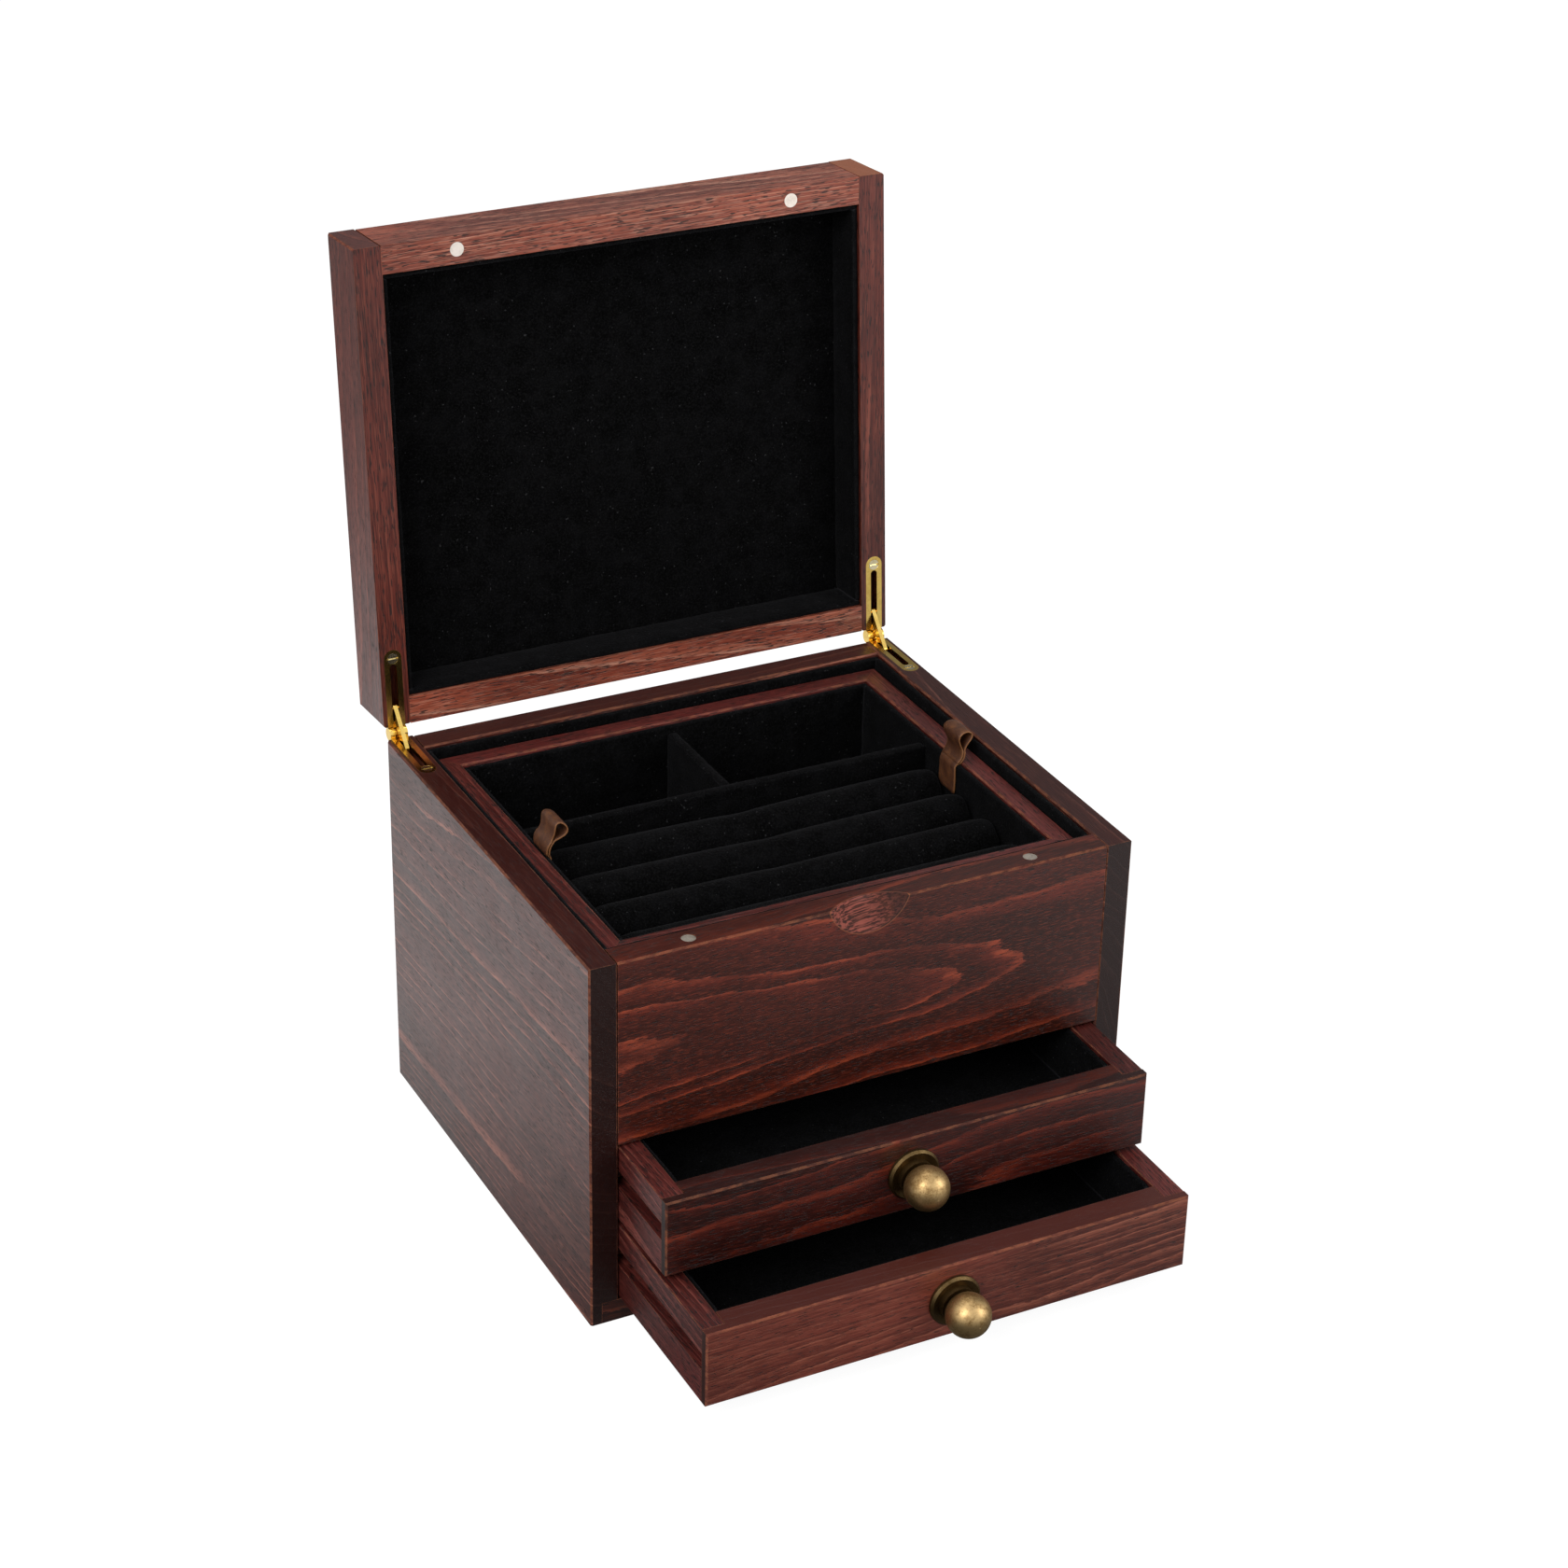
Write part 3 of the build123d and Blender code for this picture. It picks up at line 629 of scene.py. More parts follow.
@dataclass(frozen=True)
class WoodFinish:
    """Softwood under a mahogany stain and satin lacquer.

    Attributes:
        ground: the stained wood between the growth lines.
        shade: the darkest patches of the ground.
        warm: the soft side of a growth line.
        streak: the sharp side of a growth line, which takes the least stain.
        line: how strongly the growth lines show, 0 to 1.
        spacing: distance between growth lines, in metres.
        ragged: how far the growth lines wander, in metres.
        fine: how strongly the fibres show, 0 to 1.
        open_pores: how many of the fibres show as dark pores, 0 to 1.
        rubbed: the arrises, where the stain is worn.
        sheen: roughness of the lacquer.
        ends: how far the end grain takes its own tone, 0 to 1.
        end_tone: the tone of the end grain.
        narrow: how much darker the board's narrow faces are, 0 to 1.
        arris: radius of the rounded edges, in metres.
        relief: depth of the grain under the lacquer, in metres.
        scoop: a ball-nosed cut, if the board has one.
        sizes: of the patterns.
        ring: a growth ring.
        uptake: how the stain takes.
        wear: of the arrises.
        lacquer: over the grain.
    """

    ground: str = "#3a1a15"
    shade: str = "#240d0a"
    warm: str = "#5c2519"
    streak: str = "#a04c2c"
    line: float = 0.8
    spacing: float = 0.006
    ragged: float = 0.004
    fine: float = 0.5
    open_pores: float = 0.35
    rubbed: str = "#ad6843"
    sheen: float = 0.36
    ends: float = 0.62
    end_tone: str = "#170705"
    narrow: float = 0.0
    arris: float = 0.0002
    relief: float = 0.00007
    scoop: Scoop | None = None
    sizes: GrainSizes = GrainSizes()
    ring: GrowthRing = GrowthRing()
    uptake: Uptake = Uptake()
    wear: Wear = Wear()
    lacquer: Lacquer = Lacquer()

    def material(self, name: str, cut: Cut) -> bpy.types.Material:
        """Make the finish for one board.

        Args:
            name: the board's name.
            cut: how it lies in the log.

        Returns:
            The material.
        """
        surface = Surface(f"stained_wood_{name}")
        g = surface.graph
        local, place, spot = cut.places(g)
        grain = self.grain(g, place, spot, cut.pith)
        rounded, arris, worn = self.edges(g, cut, spot)
        rubbed = linear(self.rubbed)
        colour = self.colour(g, spot, grain)
        run, _, out = cut.axes()
        side = g.step(g.squareness(out), *self.uptake.broad, self.narrow, 0.0)
        colour = g.mix(side, colour, linear(self.shade))
        end = g.step(g.squareness(run), *self.uptake.end, 0.0, self.ends)
        colour = g.mix(end, colour, linear(self.end_tone))
        colour = g.mix(worn, colour, rubbed)
        if self.scoop:
            colour = self.scoop.cover(g, local, cut.middle, grain.fibre, colour, rubbed)
        surface.set(Base_Color=colour, Roughness=self.gloss(g, spot, grain, arris))
        surface.relief(self.height(g, grain), self.relief, self.lacquer.strength, rounded)
        return surface.material

    def gloss(self, g: Graph, spot: Socket, grain: Grain, arris: Socket) -> Socket:
        """Find how rough the lacquer is.

        Args:
            g: the board's graph.
            spot: the point in the board's pattern.
            grain: the board's patterns.
            arris: where the arrises are.

        Returns:
            The roughness.
        """
        coat = self.lacquer
        uneven = g.math("ADD", g.stretched(spot, self.sizes.gloss), grain.pore)
        uneven = g.math("MULTIPLY_ADD", uneven, coat.uneven, self.sheen - coat.uneven / 2)
        return g.math("MULTIPLY_ADD", arris, coat.arris, uneven)

    def height(self, g: Graph, grain: Grain) -> Socket:
        """Add up the relief of the grain under the lacquer.

        Args:
            g: the board's graph.
            grain: the board's patterns.

        Returns:
            The height.
        """
        coat = self.lacquer
        fibres = g.math("MULTIPLY_ADD", grain.fibre, coat.fibre,
                        g.math("MULTIPLY", grain.hair, coat.hair))
        lines = g.math("MULTIPLY_ADD", grain.late, coat.late,
                       g.math("MULTIPLY", grain.pore, coat.pore))
        return g.math("ADD", fibres, lines)

    def grain(self, g: Graph, place: Socket, spot: Socket, pith: Span) -> Grain:
        """Make the board's patterns.

        Args:
            g: the board's graph.
            place: the point in the board's own directions.
            spot: the point in the board's pattern.
            pith: the heart of the log, across and behind the face.

        Returns:
            The patterns.
        """
        sizes, ring, uptake = self.sizes, self.ring, self.uptake
        phase = g.math("FRACT", self.turns(g, place, spot, pith))
        stop = g.step(phase, *ring.end, 1.0, 0.0)
        rarity = uptake.rarest - uptake.opening * self.open_pores
        return Grain(late=g.math("MULTIPLY", g.step(phase, *ring.late), stop),
                     thin=g.math("MULTIPLY", g.step(phase, *ring.thin), stop),
                     early=g.step(phase, *ring.early, 1.0, 0.0),
                     fibre=g.stretched(spot, sizes.fibre),
                     hair=g.stretched(spot, sizes.hair),
                     pore=g.step(g.stretched(spot, sizes.pore), rarity,
                                 rarity + uptake.pore_edge))

    def turns(self, g: Graph, place: Socket, spot: Socket, pith: Span) -> Socket:
        """Count the growth rings out from the heart, bent by wandering and fraying.

        Args:
            g: the material's graph.
            place: the point in the board's own directions.
            spot: the point in the board's pattern.
            pith: the heart of the log, across and behind the face.

        Returns:
            The number of rings.
        """
        bent = place
        for sizes, reach in ((self.sizes.wander, self.ring.wander),
                             (self.sizes.fray, self.ring.fray)):
            push = g.vector("SUBTRACT", g.stretched(spot, sizes, colour=True), (0.5,) * 3)
            bent = g.vector("ADD", bent, g.vector("SCALE", push, scale=reach * self.ragged))
        heart = g.vector("SUBTRACT", bent, (0, pith[0], -pith[1]))
        radius = g.vector("LENGTH", g.vector("MULTIPLY", heart, (0, 1, 1)))
        uneven = g.node("ShaderNodeTexNoise",
                        {"W": radius, "Scale": 1 / (self.ring.stride * self.spacing),
                         "Detail": 1.0}, noise_dimensions="1D")
        return g.math("MULTIPLY_ADD", uneven.outputs[0], self.ring.uneven,
                      g.math("DIVIDE", radius, self.spacing))

    def edges(self, g: Graph, cut: Cut, spot: Socket) -> tuple[Socket, Socket, Socket]:
        """Round the arrises and wear them.

        Args:
            g: the material's graph.
            cut: how the board lies in the log.
            spot: the point in the board's pattern.

        Returns:
            A rounded normal, where the arrises are, and how far they are rubbed bare.
        """
        wear = self.wear
        rounded, turn = g.rounding(self.arris, wear.samples)
        sharp = g.step(turn, *wear.sharp)
        eased = g.step(cut.flatness(g), *wear.eased)
        rub = g.step(g.stretched(spot, self.sizes.rub), *wear.rub)
        bare = g.math("MAXIMUM", sharp, g.math("MULTIPLY", eased, wear.eased_share))
        return rounded, g.math("MAXIMUM", sharp, eased), g.math("MULTIPLY", bare, rub)

    def colour(self, g: Graph, spot: Socket, grain: Grain) -> Socket:
        """Stain the board.

        Args:
            g: the board's graph.
            spot: the point in the board's pattern.
            grain: the board's patterns.

        Returns:
            The colour.
        """
        sizes, take, fine = self.sizes, self.uptake, self.fine
        dark, warm, streak = linear(self.shade), linear(self.warm), linear(self.streak)
        cloud = g.step(g.stretched(spot, sizes.cloud), *take.cloud)
        lines = g.math("MULTIPLY", g.step(g.stretched(spot, sizes.patch), *take.patch),
                       self.line)
        broken = g.step(g.stretched(spot, sizes.broken), *take.broken)
        sharp = g.math("MULTIPLY", grain.thin, g.math("MULTIPLY", broken, lines))
        coats = ((g.math("MULTIPLY", grain.early, take.early), dark),
                 (g.math("MULTIPLY", grain.late, lines), warm),
                 (sharp, streak),
                 (g.step(grain.fibre, *take.furrow, take.furrow_depth * fine, 0.0), dark),
                 (g.step(grain.fibre, *take.ridge, 0.0, take.ridge_height * fine), warm),
                 (g.step(grain.hair, *take.hair, 0.0, take.hair_height * fine), streak),
                 (g.math("MULTIPLY", grain.pore, take.pore_depth), linear(take.pore_tone)))
        colour = g.mix(cloud, dark, linear(self.ground))
        for share, tone in coats:
            colour = g.mix(share, colour, tone)
        return colour


@dataclass(frozen=True)
class VelvetFinish:
    """Short pile, nearly black, brushed in patches and paler where it turns over an edge.

    Attributes:
        name: the material's name.
        pile: its colour where it lies flat.
        brushed: its colour where it stands up.
        tufts: the colour of single tufts.
        turned: its colour on the tight edges.
        lint: the colour of dust caught in it.
        edge: width of a tight edge, in metres.
        samples: rays that find such an edge.
        depth: of the pile's relief, in metres.
        strength: of the relief.
        patches: sizes of the brushed patches.
        patch_levels: noise levels between which the pile stands up.
        tuft_sizes: sizes of the tufts.
        tuft_levels: noise levels between which a tuft shows, and how far.
        dust: sizes of the dust.
        dust_levels: noise levels between which it shows, and how far.
        turn: cosines of the turn over which an edge shows, and how far.
    """

    name: str = "black_velvet"
    pile: str = "#020202"
    brushed: str = "#0b0b0c"
    tufts: str = "#1c1c1d"
    turned: str = "#3a3a3d"
    lint: str = "#58585a"
    edge: float = 0.0011
    samples: int = 4
    depth: float = 0.0003
    strength: float = 0.9
    patches: Mottle = Mottle(130.0, 4.0, 0.65)
    patch_levels: Span = (0.35, 0.70)
    tuft_sizes: Mottle = Mottle(1500.0, 3.0, 0.7)
    tuft_levels: Ramp = (0.42, 0.72, 0.0, 0.6)
    dust: Mottle = Mottle(1100.0, 0.0)
    dust_levels: Ramp = (0.79, 0.85, 0.0, 0.3)
    turn: Ramp = (0.995, 0.85, 0.0, 0.8)

    def material(self) -> bpy.types.Material:
        """Make the velvet.

        Returns:
            The material.
        """
        surface = Surface(self.name)
        g = surface.graph
        spot = g.own_point()
        patch = g.noise(spot, self.patches)
        tuft = g.noise(spot, self.tuft_sizes)
        dust = g.step(g.noise(spot, self.dust), *self.dust_levels)
        edge = g.step(g.rounding(self.edge, self.samples)[1], *self.turn)
        colour = g.mix(g.step(patch, *self.patch_levels), linear(self.pile),
                       linear(self.brushed))
        colour = g.mix(g.step(tuft, *self.tuft_levels), colour, linear(self.tufts))
        colour = g.mix(edge, colour, linear(self.turned))
        surface.set(Base_Color=g.mix(dust, colour, linear(self.lint)), Roughness=0.95,
                    Specular_IOR_Level=0.04, Sheen_Weight=0.06, Sheen_Roughness=0.4,
                    Sheen_Tint=linear("#a0a0a6"))
        surface.relief(g.math("ADD", tuft, patch), self.depth, self.strength)
        return surface.material


@dataclass(frozen=True)
class MetalFinish:
    """A metal with tarnish in patches, fine scratches and handling marks.

    Attributes:
        name: the material's name.
        bright: the colour of the clean metal.
        dull: the colour of the tarnish.
        roughness: of the clean metal.
        tarnish: how far the tarnish covers, 0 to 1.
        scratch: strength of the scratches.
        metallic: 1 for a bare metal, less under dirt.
        depth: of the scratches, in metres.
        grime: colour of the dirt where no hand reaches.
        reach: from where to where on Y hands no longer keep it clean, in metres.
        soiled: how far the dirt covers there, 0 to 1.
        cloud: sizes of the tarnish's patches.
        fine: sizes of the handling marks.
        brushed: sizes of the scratches.
        share: of the patches in the tarnish; the rest is handling marks.
        levels: noise levels between which the tarnish sets in.
        dulling: how much roughness full tarnish adds, for each unit of the clean metal's.
    """

    name: str
    bright: str
    dull: str
    roughness: float
    tarnish: float
    scratch: float = 0.4
    metallic: float = 1.0
    depth: float = 0.00004
    grime: str = "#33240f"
    reach: Span | None = None
    soiled: float = 0.8
    cloud: Mottle = Mottle(240.0, 4.0, 0.65)
    fine: Mottle = Mottle(1900.0, 3.0, 0.7)
    brushed: Stretch = Stretch(300, 4200, 2.0, 0.6)
    share: float = 0.7
    levels: Span = (0.40, 0.66)
    dulling: float = 0.5

    def material(self) -> bpy.types.Material:
        """Make the metal.

        Returns:
            The material.
        """
        surface = Surface(self.name)
        g = surface.graph
        spot = g.own_point()
        cloud = g.noise(spot, self.cloud)
        fine = g.noise(spot, self.fine)
        brushed = g.stretched(spot, self.brushed)
        stain = g.math("MULTIPLY_ADD", cloud, self.share,
                       g.math("MULTIPLY", fine, 1 - self.share))
        stain = g.step(stain, *self.levels, 0.0, self.tarnish)
        colour = g.mix(stain, linear(self.bright), linear(self.dull))
        if self.reach:
            behind = g.node("ShaderNodeSeparateXYZ", {0: spot}).outputs[1]
            dirt = g.step(behind, *self.reach, 0.0, self.soiled)
            colour = g.mix(dirt, colour, linear(self.grime))
        surface.set(Base_Color=colour, Metallic=self.metallic,
                    Roughness=g.math("MULTIPLY_ADD", stain, self.dulling * self.roughness,
                                     self.roughness))
        surface.relief(g.math("ADD", brushed, fine), self.depth, self.scratch)
        return surface.material


@dataclass(frozen=True)
class LeatherFinish:
    """Brown leather, grained, rubbed in patches and paler along its cut edges.

    Attributes:
        name: the material's name.
        hide: the colour of the grain side.
        rubbed: its colour where it is handled.
        crease: its colour in the creases.
        cut: the colour of the cut edges.
        roughness: the least of it.
        uneven: how much it varies.
        depth: of the creases, in metres.
        strength: of their relief.
        cells: creased cells per metre.
        crease_width: width of a crease, in cells.
        crease_shade: how far a crease darkens, 0 to 1.
        patches: sizes of the handled patches.
        patch_levels: noise levels between which they show, and how far.
        edge: squareness to the strip's sides over which the cut edge shows.
    """

    name: str = "brown_leather"
    hide: str = "#522c15"
    rubbed: str = "#86522b"
    crease: str = "#1a0f0a"
    cut: str = "#9c673c"
    roughness: float = 0.45
    uneven: float = 0.25
    depth: float = 0.00012
    strength: float = 0.5
    cells: float = 1700.0
    crease_width: float = 0.12
    crease_shade: float = 0.5
    patches: Mottle = Mottle(320.0, 3.0, 0.6)
    patch_levels: Ramp = (0.4, 0.7, 0.0, 0.6)
    edge: Span = (0.45, 0.85)

    def material(self) -> bpy.types.Material:
        """Make the leather.

        Returns:
            The material.
        """
        surface = Surface(self.name)
        g = surface.graph
        spot = g.own_point()
        cells = g.node("ShaderNodeTexVoronoi", {"Vector": spot, "Scale": self.cells},
                       feature="DISTANCE_TO_EDGE").outputs[0]
        crease = g.step(cells, 0.0, self.crease_width)
        cloud = g.noise(spot, self.patches)
        aside = g.squareness(Vector(Along.DEPTH.value))
        colour = g.mix(g.step(cloud, *self.patch_levels), linear(self.hide),
                       linear(self.rubbed))
        shade = g.math("MULTIPLY_ADD", crease, -self.crease_shade, self.crease_shade)
        colour = g.mix(shade, colour, linear(self.crease))
        surface.set(Base_Color=g.mix(g.step(aside, *self.edge), colour, linear(self.cut)),
                    Roughness=g.math("MULTIPLY_ADD", cloud, self.uneven, self.roughness))
        surface.relief(g.math("ADD", crease, cloud), self.depth, self.strength)
        return surface.material


PLAIN = WoodFinish(ground="#34120d", shade="#200a07")
PANEL = WoodFinish(ground="#45180f", shade="#301009", warm="#74291b", streak="#a9492c",
                   line=0.95, spacing=0.0070, ragged=0.0046, fine=0.75, open_pores=0.6,
                   narrow=0.4, scoop=Scoop(centre=(0.0, -0.10175, 0.1418), radius=0.0215))
SIDE = WoodFinish(ground="#4b1b15", shade="#33100b", warm="#5f2a21", streak="#b26e5a",
                  line=0.85, spacing=0.0041, ragged=0.0023, fine=0.75, open_pores=0.7, ends=0.78,
                  narrow=0.7)
RAIL = WoodFinish(ground="#a8513a", shade="#66281b", warm="#bd6b50", streak="#e2ab92",
                  line=0.65, spacing=0.0015, ragged=0.0008, fine=1.0, open_pores=0.9)
STILE = WoodFinish(ground="#6a261a", shade="#43150e", warm="#7e3729", streak="#a05743",
                   line=0.6, spacing=0.0017, ragged=0.0010, fine=0.9, open_pores=0.8, ends=0.2)
WORN_STILE = replace(STILE, ends=0.8, end_tone="#a8623f")
RIM = WoodFinish(ground="#652623", shade="#431613", warm="#7b3a33", streak="#935046",
                 line=0.55, spacing=0.0017, ragged=0.0012, fine=0.8, open_pores=0.9)
FRONT = WoodFinish(ground="#3a0f08", shade="#240805", warm="#58190e", streak="#83321c",
                   line=0.8, spacing=0.0060, ragged=0.0042, fine=0.85, open_pores=0.7,
                   arris=0.00012, narrow=0.6)
PALE_FRONT = WoodFinish(ground="#773427", shade="#4a1c14", warm="#904a35", streak="#ae684f",
                        line=0.55, spacing=0.0026, ragged=0.0022, fine=0.7, open_pores=0.5,
                        narrow=0.95)

ANTIQUE_BRASS = MetalFinish("antique_brass", "#c4a573", "#6f522c", roughness=0.40,
                            tarnish=0.85)
POLISHED_BRASS = MetalFinish("polished_brass", "#f0cd72", "#b08a3a", roughness=0.16,
                             tarnish=0.4, scratch=0.2)
SCREW_BRASS = MetalFinish("screw_brass", "#efe3bd", "#a8955f", roughness=0.20, tarnish=0.4,
                          scratch=0.3)
NICKEL = MetalFinish("magnet_nickel", "#fff4ea", "#c8bcae", roughness=0.42, tarnish=0.5,
                     scratch=0.3, metallic=0.75)
WORN_NICKEL = MetalFinish("magnet_nickel_worn", "#b5aca0", "#6e675e", roughness=0.5,
                          tarnish=0.8, scratch=0.6, metallic=0.6)
SCREW_STEEL = MetalFinish("screw_steel", "#b9b8b4", "#7c7a76", roughness=0.28, tarnish=0.5)


# ---------------------------------------------------------------- meshes


def paint(piece: bpy.types.Object, material: bpy.types.Material) -> None:
    """Give a piece one material only."""
    piece.data.materials.clear()
    piece.data.materials.append(material)


def placed(name: str, data: bpy.types.ID) -> bpy.types.Object:
    """Put a new object in the scene.

    Args:
        name: its name.
        data: its mesh, lamp or camera.

    Returns:
        The object.
    """
    made = bpy.data.objects.new(name, data)
    bpy.context.scene.collection.objects.link(made)
    return made


def mesh_object(name: str, mesh: bmesh.types.BMesh, material: bpy.types.Material,
                smooth: bool = True) -> bpy.types.Object:
    """Turn a bmesh into a scene object with outward normals.

    Args:
        name: the object's name.
        mesh: the bmesh, which is freed.
        material: its only material.
        smooth: whether its faces are shaded as one surface.

    Returns:
        The object.
    """
    bmesh.ops.recalc_face_normals(mesh, faces=mesh.faces)
    data = bpy.data.meshes.new(name)
    mesh.to_mesh(data)
    mesh.free()
    for polygon in data.polygons:
        polygon.use_smooth = smooth
    data.materials.append(material)
    return placed(name, data)


def finished(piece: bpy.types.Object, body: str,
             replaces: tuple[str, ...] = ()) -> None:
    """Set a piece on its body and the CAD nodes that it stands for.

    Args:
        piece: the piece.
        body: the CAD body that it rides on.
        replaces: names of CAD nodes.
    """
    if replaces:
        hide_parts(*replaces)
    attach(piece, body)


def settle(piece: bpy.types.Object) -> None:
    """Turn a piece's modifiers into its mesh.

    Args:
        piece: the piece, which has none left afterwards.
    """
    graph = bpy.context.evaluated_depsgraph_get()
    data = bpy.data.meshes.new_from_object(piece.evaluated_get(graph))
    piece.modifiers.clear()
    piece.data = data


def loft(mesh: bmesh.types.BMesh, sections: list[list[Vector]]) -> None:
    """Join closed sections of equal length into a capped tube.

    Args:
        mesh: the bmesh to add to.
        sections: lists of points.
    """
    rings = [[mesh.verts.new(point) for point in section] for section in sections]
    for a, b in zip(rings, rings[1:]):
        for k in range(len(a)):
            n = (k + 1) % len(a)
            mesh.faces.new((a[k], a[n], b[n], b[k]))
    mesh.faces.new(rings[0])
    mesh.faces.new(list(reversed(rings[-1])))


# ---------------------------------------------------------------- velvet


@dataclass
class VelvetCards:
    """Velvet-covered cards: slabs with soft edges and a slightly wavy pile.

    Attributes:
        name: the piece's name.
        body: the CAD body it rides on.
        replaces: the CAD nodes it stands for.
        slabs: low and high corners of each card, in metres.
        edge: radius of the soft edges.
        most: the largest share of a card's thickness that an edge takes.
        crease: smallest turn between two faces that makes an edge, in radians.
        wave: height of the pile's unevenness.
        waves: its features per metre, coarse and fine.
        fine: height of the fine ones, next to the coarse ones.
        division: size of the faces that wave.
        frame: places the slabs in the object's frame.
    """

    name: str
    body: str
    replaces: tuple[str, ...]
    slabs: list[Corners]
    edge: float = 0.0009
    most: float = 0.45
    crease: float = 0.5
    wave: float = 0.00018
    waves: Span = (160.0, 700.0)
    fine: float = 0.5
    division: float = 0.006
    frame: Matrix = field(default_factory=lambda: Matrix.Identity(4))

    def slab(self, into: bmesh.types.BMesh, low: Vector, high: Vector) -> None:
        """Add one card: a box with rounded edges, divided so that it can wave.

        Args:
            into: the bmesh that gets it.
            low: its lowest corner.
            high: its highest corner.
        """
        part = bmesh.new()
        bmesh.ops.create_cube(part, size=1.0)
        size = high - low
        for vertex in part.verts:
            vertex.co = vertex.co * size + (low + high) / 2
        for axis in range(3):
            count = max(1, round(size[axis] / self.division))
            normal = Vector(1.0 if axis == k else 0.0 for k in range(3))
            for at in range(1, count):
                bmesh.ops.bisect_plane(part, geom=part.verts[:] + part.edges[:] + part.faces[:],
                                       plane_co=low + normal * (size[axis] * at / count),
                                       plane_no=normal)
        sharp = [edge for edge in part.edges
                 if len(edge.link_faces) == 2 and edge.calc_face_angle() > self.crease]
        bmesh.ops.bevel(part, geom=sharp, offset=min(self.edge, self.most * min(size)),
                        segments=3, profile=0.5, affect="EDGES")
        data = bpy.data.meshes.new("card")
        part.to_mesh(data)
        part.free()
        into.from_mesh(data)
        bpy.data.meshes.remove(data)

    def build(self, velvet: bpy.types.Material) -> bpy.types.Object:
        """Make the cards as one piece and set it on its body.

        Args:
            velvet: their material.

        Returns:
            The piece.
        """
        mesh = bmesh.new()
        for low, high in self.slabs:
            self.slab(mesh, Vector(low), Vector(high))
        mesh.normal_update()
        coarse, fine = self.waves
        for vertex in mesh.verts:
            push = noise.noise(vertex.co * coarse) + self.fine * noise.noise(vertex.co * fine)
            vertex.co += vertex.normal * push * self.wave
        mesh.transform(self.frame)
        made = mesh_object(self.name, mesh, velvet)
        finished(made, self.body, self.replaces)
        LOG.info("velvet %s, %d cards", self.name, len(self.slabs))
        return made


@dataclass
class Well:
    """The cards that line a rectangular well.

    Attributes:
        low: lowest corner of the lining.
        high: highest corner of the lining.
        card: thickness of the wall cards.
        floor: thickness of a floor card, or 0 where the floor is another piece.
        root: how far in from a card's corner its fibres are rooted.
    """

    low: Vector
    high: Vector
    card: float = 0.002
    floor: float = 0.0
    root: float = 0.00028

    def walls(self) -> list[Corners]:
        """Place the four wall cards.

        Returns:
            Their low and high corners.
        """
        left, front, base = self.low.x, self.low.y, self.low.z + self.floor
        right, back, top = self.high
        card = self.card
        plans = ((left, front, right, front + card), (left, back - card, right, back),
                 (left, front + card, left + card, back - card),
                 (right - card, front + card, right, back - card))
        return [(Vector((x, y, base)), Vector((u, v, top))) for x, y, u, v in plans]

    def cards(self) -> list[Corners]:
        """Place every card.

        Returns:
            Their low and high corners.
        """
        if not self.floor:
            return self.walls()
        top = Vector((self.high.x, self.high.y, self.low.z + self.floor))
        return self.walls() + [(self.low, top)]

    def rims(self, slabs: list[Corners] | None = None,
             upside_down: bool = False) -> list[Corners]:
        """Find the two long edges of each card at the mouth of the well.

        Args:
            slabs: the cards, if not the well's own walls.
            upside_down: whether the well opens downwards.

        Returns:
            Pairs of points.
        """
        edges = []
        for low, high in slabs or self.walls():
            level = low.z + self.root if upside_down else high.z - self.root
            if high.x - low.x > high.y - low.y:
                edges += [(Vector((low.x, y, level)), Vector((high.x, y, level)))
                          for y in (low.y + self.root, high.y - self.root)]
            else:
                edges += [(Vector((x, low.y, level)), Vector((x, high.y, level)))
                          for x in (low.x + self.root, high.x - self.root)]
        return edges


